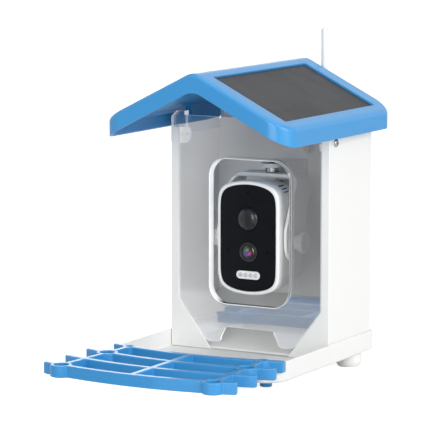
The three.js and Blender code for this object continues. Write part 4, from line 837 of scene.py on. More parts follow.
def lathe(name: str, profile: Sequence[Point], axis: Plane, centre: Point, segments: int = 96,
          loop: bool = False) -> Piece:
    """A profile turned about an axis.

    Args:
        name: the object's name.
        profile: points of radius and distance along the axis.
        axis: the plane whose normal the axis is.
        centre: the axis's place in that plane.
        segments: how many sides the turned piece has.
        loop: whether the profile closes on itself, as a ring's does.

    Returns:
        The object.
    """
    rings = [[axis.place(across, up, out) for across, up in circle(radius, centre, segments)]
             for radius, out in profile]
    return loft(name, rings, loop=loop)


def area(loop: Sequence[Point]) -> float:
    """Signed area of an outline, positive when it runs anticlockwise."""
    return sum(a[0] * b[1] - b[0] * a[1] for a, b in zip(loop, [*loop[1:], loop[0]])) / 2


def plate(name: str, solids: Sequence[Sequence[Point]], low: float, high: float,
          plane: Plane = Plane.LEVEL, holes: Sequence[Sequence[Point]] = (),
          merge: float = 1e-4) -> Piece:
    """A plate that covers several joined outlines and leaves others open.

    Args:
        name: the object's name.
        solids: outlines that the plate covers.
        low: where it starts along the plane's normal.
        high: where it ends.
        plane: the plane of the outlines.
        holes: outlines that stay open.
        merge: corners nearer to each other than this become one.

    Returns:
        The object.
    """
    loops = [list(loop) if area(loop) > 0 else list(loop)[::-1] for loop in (*solids, *holes)]
    corners, faces = [], []
    for loop in loops:
        faces.append(list(range(len(corners), len(corners) + len(loop))))
        corners += [Vector(point) for point in loop]
    points, _, triangles, _, _, origins = delaunay_2d_cdt(corners, [], faces, 1, merge, True)
    kept = [triangle for triangle, origin in zip(triangles, origins)
            if origin and all(face < len(solids) for face in origin)]
    shape = bmesh.new()
    floor = [shape.verts.new(plane.place(point.x, point.y, low)) for point in points]
    roof = [shape.verts.new(plane.place(point.x, point.y, high)) for point in points]
    edges = {(a, b) for face in kept for a, b in zip(face, [*face[1:], face[0]])}
    for face in kept:
        shape.faces.new([roof[corner] for corner in face])
        shape.faces.new([floor[corner] for corner in reversed(face)])
    for a, b in edges:
        if (b, a) not in edges:
            shape.faces.new((floor[a], floor[b], roof[b], roof[a]))
    bmesh.ops.delete(shape, geom=[vert for vert in shape.verts if not vert.link_faces], context="VERTS")
    flatten(shape)
    return add_mesh(name, shape)


def flatten(shape: bmesh.types.BMesh) -> None:
    """Joins doubled corners and faces that lie in one plane.

    Args:
        shape: the working mesh.
    """
    bmesh.ops.remove_doubles(shape, verts=shape.verts, dist=WELD)
    bmesh.ops.dissolve_degenerate(shape, edges=shape.edges, dist=WELD)
    bmesh.ops.dissolve_limit(shape, verts=shape.verts, edges=shape.edges, angle_limit=math.radians(FLAT))


def modify(piece: Piece, kind: str, **settings: Any) -> None:
    """Puts a modifier on a piece.

    Args:
        piece: the piece.
        kind: Blender's name for the modifier type.
        settings: the modifier's properties.
    """
    modifier = piece.modifiers.new(kind.lower(), kind)
    for name, value in settings.items():
        setattr(modifier, name, value)


def settle(piece: Piece) -> None:
    """Turns a piece's modifiers into mesh.

    Args:
        piece: the piece.
    """
    graph = bpy.context.evaluated_depsgraph_get()
    mesh = bpy.data.meshes.new_from_object(piece.evaluated_get(graph))
    piece.modifiers.clear()
    piece.data = mesh


def combine(piece: Piece, tool: Piece, join: Join) -> None:
    """Joins a tool to a piece, cuts it out or keeps what both share.

    Args:
        piece: the piece that stays.
        tool: the other shape, which is used up.
        join: which of the three.
    """
    modify(piece, "BOOLEAN", object=tool, operation=join.value, solver="EXACT")
    settle(piece)
    bpy.data.objects.remove(tool)


def drill(piece: Piece, radius: float, start: float, end: float, axis: Plane, centre: Point,
          segments: int = 48) -> None:
    """Cuts a plain round hole.

    Args:
        piece: the piece.
        radius: the hole's radius.
        start: where it starts along the axis.
        end: where it ends.
        axis: the plane whose normal the axis is.
        centre: the axis's place in that plane.
        segments: how many sides it has.
    """
    profile = [(CORE, start), (radius, start), (radius, end), (CORE, end)]
    combine(piece, lathe("drill", profile, axis, centre, segments), Join.CUT)


def round_edges(piece: Piece, width: float, segments: int = 3, angle: float = CREASE) -> Piece:
    """Rounds a piece's sharp edges.

    Args:
        piece: the piece.
        width: how far the rounding reaches on each side of an edge, in millimetres.
        segments: how many bands it has.
        angle: edges sharper than this, in degrees, are rounded.

    Returns:
        The piece.
    """
    shape = bmesh.new()
    shape.from_mesh(piece.data)
    flatten(shape)
    shape.to_mesh(piece.data)
    shape.free()
    modify(piece, "BEVEL", width=width, segments=segments, limit_method="ANGLE",
           angle_limit=math.radians(angle), use_clamp_overlap=False)
    settle(piece)
    return piece


def soften(piece: Piece) -> None:
    """Shades curved faces smoothly and keeps flat faces flat and sharp edges crisp.

    Args:
        piece: the piece.
    """
    shape = bmesh.new()
    shape.from_mesh(piece.data)
    for face in shape.faces:
        face.smooth = True
    for edge in shape.edges:
        edge.smooth = len(edge.link_faces) != 2 or edge.calc_face_angle(0.0) < math.radians(CREASE)
    shape.to_mesh(piece.data)
    shape.free()
    modify(piece, "WEIGHTED_NORMAL", keep_sharp=True, weight=NORMAL_WEIGHT)


class Bench:
    """The frame with its materials, where finished pieces are put in place."""

    def __init__(self, frame: dict[str, Any]) -> None:
        """Reads the frame's slots and bodies.
        """
        self.frame = frame
        self.materials = {slot: slot.value.make() for slot in Slot}
        self.house_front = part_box("house_body")[0].y / MM
        record = frame["record"]
        self.slot_of = {part["node"]: Slot[part["material_slot"].upper()] for part in record["subparts"]}
        self.body_of = {node: body for body, nodes in record["behaviour"]["bodies"].items() for node in nodes}
        self.stood_for: set[str] = set()

    def place(self, piece: Piece, node: str, slot: Slot | None = None, stands_for: bool = True) -> None:
        """Moves a piece to the frame's place, dresses it and lets it ride.

        Args:
            piece: the piece, drawn in millimetres from the front of the house.
            node: the CAD node that it belongs to.
            slot: its slot, where it isn't the node's.
            stands_for: whether the node is no longer shown.
        """
        slot = slot or self.slot_of[node]
        piece.data.transform(Matrix.Scale(MM, 4) @ Matrix.Translation((0, self.house_front, 0)))
        soften(piece)
        piece.data.materials.clear()
        piece.data.materials.append(self.materials[slot])
        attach(piece, self.body_of[node])
        if stands_for:
            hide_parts(node)
            self.stood_for.add(node)
        LOG.info("%s: %d faces", piece.name, len(piece.data.polygons))

    def refine(self, node: str, width: float) -> None:
        """Keeps a CAD node, rounds its edges and shades it smoothly.

        Args:
            node: the node.
            width: the rounding's reach in millimetres.
        """
        piece = self.frame["nodes"][node]
        modify(piece, "WELD", merge_threshold=WELD * MM)
        modify(piece, "DECIMATE", decimate_type="DISSOLVE", angle_limit=math.radians(FLAT))
        modify(piece, "BEVEL", width=width * MM, segments=2, limit_method="ANGLE",
               angle_limit=math.radians(CREASE), use_clamp_overlap=False)
        modify(piece, "WEIGHTED_NORMAL", weight=NORMAL_WEIGHT)
        for face in piece.data.polygons:
            face.use_smooth = True

    def dress_rest(self, widths: dict[str, float], finishes: dict[str, Slot]) -> None:
        """Dresses the CAD nodes that stay.

        Args:
            widths: the rounding of each node that gets one.
            finishes: the finish of each node whose finish isn't its slot's.
        """
        for node, piece in self.frame["nodes"].items():
            if node in self.stood_for:
                continue
            for place in piece.material_slots:
                place.material = self.materials[finishes.get(node, self.slot_of[node])]
            if node in widths:
                self.refine(node, widths[node])
            LOG.info("%s: kept from the frame", node)


@dataclass
class Roof:
    """The gable roof shell with its solar panel."""

    bench: Bench
    slope: float = ROOF_SLOPE
    skirt: float = 17.8
    wall: float = 3.2
    top: float = 4.4
    corner: float = 21.0
    edge: float = 4.0
    ridge_round: float = RIDGE_ROUND
    ridge_side: float = 12.8
    eave_margin: float = 11.4
    front_margin: float = 19.0
    back_margin: float = 21.8
    pocket_depth: float = 3.4
    pocket_corner: float = 1.6
    lip: float = 0.7
    cells: float = 0.4
    sheet: float = 0.6
    rim: float = 0.8
    fillet: Point = (1.6, 0.5)
    pocket_fillet: tuple[Point, ...] = ((-0.5, 0.0), (-0.12, 0.15), (0.0, 0.5))
    rib_play: float = 0.5
    rib_width: float = 3.0
    rib_drop: float = 8.0
    rib_start: float = 28.0
    rib_stop: float = 5.0
    gap: float = GAP

    def __post_init__(self) -> None:
        """Takes the roof's reach from the frame."""
        low, high = (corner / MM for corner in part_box("roof_shell"))
        self.half = high.x
        self.front = low.y - self.bench.house_front
        self.back = high.y - self.bench.house_front
        self.ridge = high.z + self.slope * self.ridge_round / 2
        self.lean = math.cos(math.atan(self.slope))

    def gable(self, x: float) -> float:
        """Height of the upper surface.

        Args:
            x: the place across.

        Returns:
            Its height over the ground.
        """
        across = abs(x)
        if across >= self.ridge_round:
            return self.ridge - self.slope * across
        return self.ridge - self.slope * (across * across / self.ridge_round + self.ridge_round) / 2

    def ring(self, inset: float, lowered: float) -> list[Vector]:
        """Outline of the roof at one depth.

        Args:
            inset: how far it lies inside the outer skin.
            lowered: how far it lies below the gable surface.

        Returns:
            Its points, out along the front and back along the rear.
        """
        reach = self.corner - inset
        centre = self.half - self.corner
        across = [*arc((-centre, 0), reach, 180, 90, 16),
                  *[(x / 6 * self.ridge_round, reach) for x in range(-6, 7)],
                  *arc((centre, 0), reach, 90, 0, 16)]
        front = [Vector((x, self.front + self.corner - y, self.gable(x) - lowered)) for x, y in across]
        rear = [Vector((x, self.back - self.corner + y, self.gable(x) - lowered)) for x, y in across]
        return front + rear[::-1]

    def profile(self) -> list[Point]:
        """The skin's section: underside, inner skirt, rounded lower rim, outer skirt, rounded upper edge.

        Returns:
            Each point's inset from the outer skin and its drop below the gable surface.
        """
        under, rim, (reach, middle) = self.top / self.lean, self.rim, self.fillet
        inner = [(self.wall + reach, under), (self.wall + middle, under + middle), (self.wall, under + reach)]
        return [*inner, *arc((self.wall - rim, self.skirt - rim), rim, 0, 90, 4),
                *arc((rim, self.skirt - rim), rim, 90, 180, 4),
                *arc((self.edge, self.edge), self.edge, 180, 270, 8)]

    def on_slope(self) -> Matrix:
        """Frame of the right slope: X runs down it and Z stands out of it."""
        turn = Matrix.Rotation(math.atan(self.slope), 4, "Y")
        return Matrix.Translation((0, 0, self.ridge)) @ turn

    def pocket_ring(self, grow: float, height: float) -> list[Vector]:
        """Outline of the solar pocket.

        Args:
            grow: how far it reaches beyond the pocket's wall.
            height: its height over the slope.

        Returns:
            Its points.
        """
        start, end = self.ridge_side, (self.half - self.eave_margin) / self.lean
        front, back = self.front + self.front_margin, self.back - self.back_margin
        middle = ((start + end) / 2, (front + back) / 2)
        points = rounded_rectangle((end - start) / 2 + grow, (back - front) / 2 + grow,
                                   self.pocket_corner + grow, middle, 6)
        return [self.on_slope() @ Vector((x, y, height)) for x, y in points]

    def rib(self, side: int) -> Piece:
        """One rib under the roof that rests on a side wall.

        Args:
            side: -1 for the left and 1 for the right.

        Returns:
            The rib as a tool.
        """
        low, high = (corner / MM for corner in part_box("house_body"))
        wall_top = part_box("front_window")[1].z / MM - BLOCK_RISE
        outer, tongue = high.x, high.x - HOUSE_WALL - self.rib_play
        inner = tongue - self.rib_width
        under = self.top / self.lean - self.top / 2
        points = [(side * inner, wall_top - self.rib_drop), (side * tongue, wall_top - self.rib_drop),
                  (side * tongue, wall_top + self.gap), (side * outer, wall_top + self.gap),
                  (side * outer, self.gable(outer) - under), (side * inner, self.gable(inner) - under)]
        end = high.y - low.y - HOUSE_WALL - self.rib_stop
        return plate("rib", [points], self.rib_start, end, Plane.FACING)

    def build_shell(self) -> None:
        """Builds the blue shell with its pocket."""
        shell = loft("roof_shell_fine", [self.ring(*place) for place in self.profile()], strip=True)
        for side, _ in SIDES:
            combine(shell, self.rib(side), Join.ADD)
        lip = oval((self.lip, -self.lip), (-self.lip, self.lip), range(0, 91, 15))
        levels = [(grow, -self.pocket_depth + rise) for grow, rise in self.pocket_fillet]
        levels += [*lip, (self.lip, OVERRUN)]
        cutter = loft("pocket", [self.pocket_ring(grow, height) for grow, height in levels])
        combine(shell, cutter, Join.CUT)
        self.bench.place(shell, "roof_shell")

    def build_panel(self) -> None:
        """Builds the laminate in the pocket, with softened edges."""
        floor = -self.pocket_depth + 2 * self.gap + self.cells
        top, edge_round = floor + self.sheet, self.sheet / 2
        edge = oval((-self.gap - edge_round, top - edge_round), (edge_round, edge_round), range(0, 91, 18))
        levels = [(-self.gap, floor), *edge]
        sheet = loft("solar_glass_fine", [self.pocket_ring(grow, height) for grow, height in levels])
        self.bench.place(sheet, "solar_glass")

    def build(self) -> None:
        """Builds the roof."""
        self.build_shell()
        self.build_panel()


@dataclass
class Base:
    """The seed tray with its feet and pegs."""

    bench: Bench
    wall: float = 2.6
    floor: float = TRAY_FLOOR
    front_corner: float = 24.0
    back_corner: float = 8.0
    bow: float = 6.0
    edge: float = 2.6
    rim: float = 0.7
    fillet: Point = (1.5, 0.45)
    lip_height: float = 9.4
    lip_ahead: float = 91.0
    peg_foot: float = 7.0
    peg: float = 3.0
    peg_rise: float = 9.0
    peg_taper: Point = (0.6, 0.8)
    rear_foot: Point = (0.68, 0.55)
    front_foot: Point = (0.84, 0.08)
    foot_chamfer: float = 0.4

    def __post_init__(self) -> None:
        """Takes the tray's reach from the frame."""
        low, high = (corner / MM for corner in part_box("base_tray"))
        self.half = high.x
        self.front = low.y - self.bench.house_front + self.bow
        self.back = high.y - self.bench.house_front
        self.bottom = low.z

    def ring(self, inset: float, height: float) -> list[Vector]:
        """Outline of the tray: a bowed front between large corners and a straight back.

        Args:
            inset: how far it lies inside the outer wall.
            height: its height.

        Returns:
            Its points.
        """
        points: list[Point] = []
        span = self.half - self.front_corner
        for quarter, side, corner, middle in (
                (2, -1, self.front_corner, self.front + self.front_corner),
                (3, 1, self.front_corner, self.front + self.front_corner),
                (0, 1, self.back_corner, self.back - self.back_corner),
                (1, -1, self.back_corner, self.back - self.back_corner)):
            points += arc((side * (self.half - corner), middle), corner - inset, quarter * 90,
                          quarter * 90 + 90, 14)
            if quarter == 2:
                for step in range(1, 24):
                    share = step / 12 - 1
                    points.append((share * span, self.front - self.bow * (1 - share * share) + inset))
        return [Vector((x, y, height)) for x, y in points]

    def build_tray(self) -> None:
        """Builds the tray, its low lip at the front and its two pegs."""
        top, rim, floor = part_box("base_tray")[1].z / MM, self.rim, self.bottom + self.floor
        wall, (reach, middle) = self.wall, self.fillet
        levels = [(wall + reach, floor), (wall + middle, floor + middle), (wall, floor + reach)]
        levels += arc((wall - rim, top - rim), rim, 0, 90, 4) + arc((rim, top - rim), rim, 90, 180, 4)
        levels += arc((self.edge, self.bottom + self.edge), self.edge, 180, 270, 6)
        tray = loft("base_tray_fine", [self.ring(*level) for level in levels])
        lip = self.bottom + self.lip_height
        wide, ahead = self.half + OVERRUN, self.front - self.bow - OVERRUN
        loop = [(-wide, ahead), (wide, ahead), (wide, -self.lip_ahead), (-wide, -self.lip_ahead)]
        room = plate("room", [loop], lip, top + OVERRUN)
        combine(tray, room, Join.CUT)
        root, seat = self.bottom + self.floor / 2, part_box("perch")[0].z / MM
        crown = seat + self.peg_rise
        taper_in, taper_down = self.peg_taper
        profile = [(CORE, root), (self.peg_foot, root), (self.peg_foot, seat - GAP), (self.peg, seat - GAP),
                   (self.peg, crown - taper_down), (self.peg - taper_in, crown), (CORE, crown)]
        for side, _ in SIDES:
            place = (side * PERCH_REAR_HALF, -PERCH_AHEAD)
            combine(tray, lathe("peg", profile, Plane.LEVEL, place, 48), Join.ADD)
        self.bench.place(tray, "base_tray")

    def build_feet(self) -> None:
        """Builds two domed rear feet and two slim front feet."""
        for _, word in SIDES:
            self.foot(f"rear_foot_{word}", *self.rear_foot)
            self.foot(f"front_foot_{word}", *self.front_foot)

    def foot(self, node: str, flat_share: float, round_share: float) -> None:
        """Builds one foot with a rounded lower edge.

        Args:
            node: the foot's CAD node.
            flat_share: share of its radius that stands flat.
            round_share: share of its height that the rounding takes.
        """
        low, high = (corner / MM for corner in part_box(node))
        radius = (high.x - low.x) / 2
        centre = ((low.x + high.x) / 2, (low.y + high.y) / 2 - self.bench.house_front)
        flat, rise = radius * flat_share, high.z * round_share
        curve = [(flat + (radius - flat) * math.sin(math.radians(turn)),
                  rise - rise * math.cos(math.radians(turn))) for turn in range(0, 91, 10)]
        profile = [(CORE, 0.0), *curve, (radius, high.z - self.foot_chamfer),
                   (radius - self.foot_chamfer, high.z), (CORE, high.z)]
        self.bench.place(lathe(f"{node}_fine", profile, Plane.LEVEL, centre, 72), node)

    def build(self) -> None:
        """Builds the tray and the feet."""
        self.build_tray()
        self.build_feet()


@dataclass
class Perch:
    """The ladder-like perch on the tray's pegs."""

    bench: Bench
    bar: float = 6.5
    rear_ahead: float = PERCH_AHEAD
    rear_half: float = PERCH_REAR_HALF
    length: float = 106.0
    front_half: float = 78.5
    tip_half: float = 99.3
    rear_tip_half: float = 90.0
    tip_share: float = 0.72
    tip_reach: float = 5.0
    bow: float = 8.0
    bars: int = 4
    ring: float = 20.5
    ring_hole: float = 13.5
    eye: float = 14.0
    eye_hole: float = 6.6
    rounding: float = 1.1
    merge: float = 0.3

    def spine_side(self, ahead: float) -> float:
        """How far from the middle the outer spine runs at one distance ahead."""
        share = (ahead - self.rear_ahead) / self.length
        return self.rear_half + (self.front_half - self.rear_half) * share

    def bar_outline(self, ahead: float) -> list[Point]:
        """Plan of one bowed bar with rounded tips.

        Args:
            ahead: how far ahead of the house it lies.

        Returns:
            Its outline.
        """
        half = self.spine_side(ahead)
        tip = self.tip_half if ahead > self.rear_ahead else self.rear_tip_half
        near, far = [], []
        steps = 48
        for step in range(steps + 1):
            x = tip * (2 * step / steps - 1)
            line = -ahead - self.bow * (1 - (x / half) ** 2)
            room = max(0.0, tip - abs(x))
            width = self.bar / 2 * (self.tip_share + (1 - self.tip_share) * min(1.0, room / self.tip_reach))
            near.append((x, line - width))
            far.append((x, line + width))
        return near + far[::-1]

    def spine_outline(self, side: int) -> list[Point]:
        """Plan of one spine.

        Args:
            side: -1, 0 or 1 for the left, middle or right one.

        Returns:
            Its outline.
        """
        rear = -self.rear_ahead - (self.bow if side == 0 else 0)
        front = rear - self.length
        half = self.bar / 2
        return [(side * self.rear_half - half, rear), (side * self.front_half - half, front),
                (side * self.front_half + half, front), (side * self.rear_half + half, rear)]

    def build(self) -> None:
        """Builds the perch in one piece."""
        solids, holes = [], []
        for number in range(self.bars):
            ahead = self.rear_ahead + self.length * number / (self.bars - 1)
            solids.append(self.bar_outline(ahead))
            ringed = (self.bars - 1 - number) % 2 == 0
            if not ringed and number != 0:
                continue
            for side, _ in SIDES:
                centre = (side * self.spine_side(ahead), -ahead)
                solids.append(circle((self.eye if number == 0 else self.ring) / 2, centre, 40))
                holes.append(circle((self.eye_hole if number == 0 else self.ring_hole) / 2, centre, 40))
        solids += [self.spine_outline(side) for side in (-1, 0, 1)]
        low, high = (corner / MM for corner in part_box("perch"))
        perch = plate("perch_fine", solids, low.z, high.z, holes=holes, merge=self.merge)
        round_edges(perch, self.rounding)
        self.bench.place(perch, "perch")


@dataclass
class Window:
    """The clear front panel with its rim, ears and corner blocks."""

    bench: Bench
    thickness: float = 2.5
    over_walls: float = 11.7
    half_outer: float = 85.4
    funnel_half: float = 77.0
    funnel_foot: float = FUNNEL_FOOT
    funnel_rise: float = FUNNEL_RISE
    floor_gap: float = 8.0
    notch_half: float = 30.3
    notch_rise: float = 23.5
    notch_corner: float = 2.5
    tab_corner: float = 6.0
    window_half: float = 44.8
    sill: float = 44.0
    height: float = 144.0
    corner: float = 20.0
    rim_wall: float = 2.0
    rim_depth: float = 8.0
    overlap: float = 0.8
    side_play: float = 0.5
    ear: float = 2.6
    ear_radius: float = 8.0
    boss: float = 9.0
    boss_inset: float = 3.3
    pivot_back: float = HINGE_BACK
    pivot_drop: float = HINGE_DROP
    bore: float = HINGE_BORE
    block_width: float = 15.0
    block_depth: float = 8.0
    block_height: float = 15.0
    block_bevel: float = 6.0
    notch_lean: float = 4.0
    notch_aside: float = 0.3
    rounding: float = 0.4
    gap: float = GAP

    def __post_init__(self) -> None:
        """Takes heights from the frame."""
        self.half = self.funnel_half - self.side_play
        self.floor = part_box("base_tray")[0].z / MM + TRAY_FLOOR
        self.top_of_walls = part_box("front_window")[1].z / MM - BLOCK_RISE
        self.pivot = self.top_of_walls - self.pivot_drop
        self.middle = self.floor + self.sill + self.height / 2

    def sheet_outline(self) -> list[Point]:
        """Outline of the sheet: funnel sides, two tabs and the seed notch between them.

        Returns:
            Its points.
        """
        top = self.top_of_walls + self.over_walls
        slope = (self.funnel_half - self.funnel_foot) / (self.funnel_rise - self.gap)
        bend = self.floor + self.funnel_rise
        bottom = self.floor + self.floor_gap
        outer = self.half - slope * (bend - bottom)
        inner, corner, notch = self.notch_half, self.tab_corner, self.floor + self.notch_rise
        top_inner = inner - self.notch_lean
        right = [(0.0, notch), (top_inner - self.notch_corner, notch)]
        aside = top_inner + self.notch_aside
        right += quadratic(right[-1], (top_inner, notch), (aside, notch - self.notch_corner), 8)[1:]
        right += quadratic((inner, bottom + corner), (inner, bottom), (inner + corner, bottom), 8)
        right += quadratic((outer - corner / 2, bottom), (outer, bottom),
                           (outer + slope * corner, bottom + corner), 8)
        right += [(self.half, bend), (self.half, top)]
        return right + [(-x, z) for x, z in right[::-1] if x > 0]

    def side_tools(self, side: int) -> list[Piece]:
        """The thick block over one side wall, the hinge ear and the ear's pin boss.

        Args:
            side: -1 for the left and 1 for the right.

        Returns:
            The three as tools.
        """
        outer, inner = side * self.half_outer, side * (self.half_outer - self.block_width)
        high = self.top_of_walls + BLOCK_RISE
        low = high - self.block_height
        outline = [(inner, low), (outer, low), (outer, high - self.block_bevel),
                   (outer - side * self.block_bevel, high), (inner, high)]
        block = plate("block", [outline], self.gap + 2 * HAIR, self.gap + self.block_depth, Plane.FACING)
        radius, centre = self.ear_radius, (self.pivot_back, self.pivot)
        near = self.gap + self.overlap
        outline = [(near, self.pivot - radius), (self.pivot_back, self.pivot - radius),
                   *arc(centre, radius, -90, 90, 24)[1:], (near, self.pivot + radius)]
        spans = sorted((side * (self.half - self.ear), side * (self.half - 2 * HAIR)))
        ear = plate("ear", [outline], spans[0], spans[1], Plane.SIDE)
        start, end = side * (self.half - self.ear / 2), side * (self.half_outer - self.boss_inset)
        radius = self.boss / 2
        profile = [(CORE, start), (radius, start), (radius, end), (CORE, end)]
        boss = lathe("boss", profile, Plane.SIDE, centre, 40)
        return [round_edges(block, self.rounding, 2), round_edges(ear, self.rounding, 2), boss]

    def opening_tool(self) -> Piece:
        """The window's opening, flared at both faces so that its edges come out rounded.

        Returns:
            The opening as a tool.
        """
        edge = 2 * self.rounding
        flare = [(grow, back) for back, grow in oval((edge, edge), (-edge, -edge), range(0, 91, 30))]
        near, far = self.gap, self.gap + self.rim_depth
        levels = [(edge, near - 1), *[(grow, near + back) for grow, back in flare],
                  *[(grow, far - back) for grow, back in reversed(flare)], (edge, far + 1)]
        rings = []
        for grow, out in levels:
            loop = rounded_rectangle(self.window_half - self.rim_wall + grow,
                                     self.height / 2 - self.rim_wall + grow,
                                     self.corner - self.rim_wall + grow, (0, self.middle), 20)
            rings.append([Plane.FACING.place(across, up, out) for across, up in loop])
        return loft("opening", rings)

    def build(self) -> None:
        """Builds the panel in one piece, with small roundings on its edges."""
        panel = plate("front_window_fine", [self.sheet_outline()], self.gap, self.gap + self.thickness,
                      Plane.FACING)
        round_edges(panel, self.rounding, 2)
        outer = rounded_rectangle(self.window_half, self.height / 2, self.corner, (0, self.middle), 20)
        rim = plate("rim", [outer], self.gap + self.overlap, self.gap + self.rim_depth, Plane.FACING)
        combine(panel, round_edges(rim, self.rounding, 2), Join.ADD)
        for side, _ in SIDES:
            for tool in self.side_tools(side):
                combine(panel, tool, Join.ADD)
        combine(panel, self.opening_tool(), Join.CUT)
        wide = self.half_outer + OVERRUN
        drill(panel, self.bore / 2, -wide, wide, Plane.SIDE, (self.pivot_back, self.pivot), 32)
        self.bench.place(panel, "front_window")


@dataclass
class House:
    """The white house: three walls with the back gable, and the funnel-shaped front frame."""

    bench: Bench
    wall: float = HOUSE_WALL
    back_corner: float = 5.0
    flange: float = 8.4
    funnel_rise: float = FUNNEL_RISE
    funnel_foot: float = FUNNEL_FOOT
    ridge_round: float = RIDGE_ROUND
    slope: float = ROOF_SLOPE
    under_roof: float = 5.42
    antenna_hole: float = 6.8
    rounding: float = 0.6

    def __post_init__(self) -> None:
        """Takes the house's reach from the frame."""
        low, high = (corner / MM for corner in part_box("house_body"))
        self.half = high.x
        self.depth = high.y - low.y
        self.bottom = low.z
        self.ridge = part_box("roof_shell")[1].z / MM + self.slope * self.ridge_round / 2
        self.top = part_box("front_window")[1].z / MM - BLOCK_RISE

    def walls(self) -> Piece:
        """The three walls and both front flanges in plan, raised.

        Returns:
            The walls as the piece that the rest is joined to.
        """
        inner, slim, radius = self.half - self.wall, self.half - self.flange, self.back_corner
        plan = [(-self.half, 0), (-slim, 0), (-slim, self.wall), (-inner, self.wall),
                (-inner, self.depth - self.wall), (inner, self.depth - self.wall), (inner, self.wall),
                (slim, self.wall), (slim, 0), (self.half, 0)]
        plan += arc((self.half - radius, self.depth - radius), radius, 0, 90, 12)
        plan += arc((-self.half + radius, self.depth - radius), radius, 90, 180, 12)
        return round_edges(plate("house_body_fine", [plan], self.bottom, self.top), self.rounding)

    def gable(self) -> Piece:
        """The back wall's gable under the roof.

        Returns:
            The gable as a tool.
        """
        wide = self.half - self.back_corner

        def under(x: float) -> float:
            """Height just under the roof at one place across."""
            return self.ridge - self.slope * x - self.under_roof

        outline = [(-wide, self.top - self.wall), (wide, self.top - self.wall), (wide, under(wide)),
                   (self.ridge_round, under(self.ridge_round)), (-self.ridge_round, under(self.ridge_round)),
                   (-wide, under(wide))]
        return plate("gable", [outline], self.depth - self.wall + HAIR, self.depth - HAIR, Plane.FACING)

    def funnel_side(self, side: int) -> Piece:
        """One gusset that widens the flange to the foot of the funnel.

        Args:
            side: -1 for the left and 1 for the right.

        Returns:
            The gusset as a tool.
        """
        slim, hidden = self.half - self.flange, self.half - self.flange / 2
        bend = self.bottom - GAP + self.funnel_rise
        slope = (slim - self.funnel_foot) / (bend - self.bottom)
        outline = [(side * hidden, self.bottom), (side * hidden, bend + (hidden - slim) / slope),
                   (side * slim, bend), (side * self.funnel_foot, self.bottom)]
        return round_edges(plate("gusset", [outline], 0.0, self.wall, Plane.FACING), self.rounding)

    def build(self) -> None:
        """Builds the house in one piece."""
        house = self.walls()
        for tool in (self.gable(), self.funnel_side(-1), self.funnel_side(1)):
            combine(house, tool, Join.ADD)
        wide = self.half + OVERRUN
        drill(house, HINGE_BORE / 2, -wide, wide, Plane.SIDE, (HINGE_BACK, self.top - HINGE_DROP), 32)
        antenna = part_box("antenna_barrel")
        middle = (antenna[0] + antenna[1]) / 2 / MM
        drill(house, self.antenna_hole / 2, self.depth - 2 * self.wall, self.depth + self.wall,
              Plane.FACING, (middle.x, middle.z), 32)
        self.bench.place(house, "house_body")


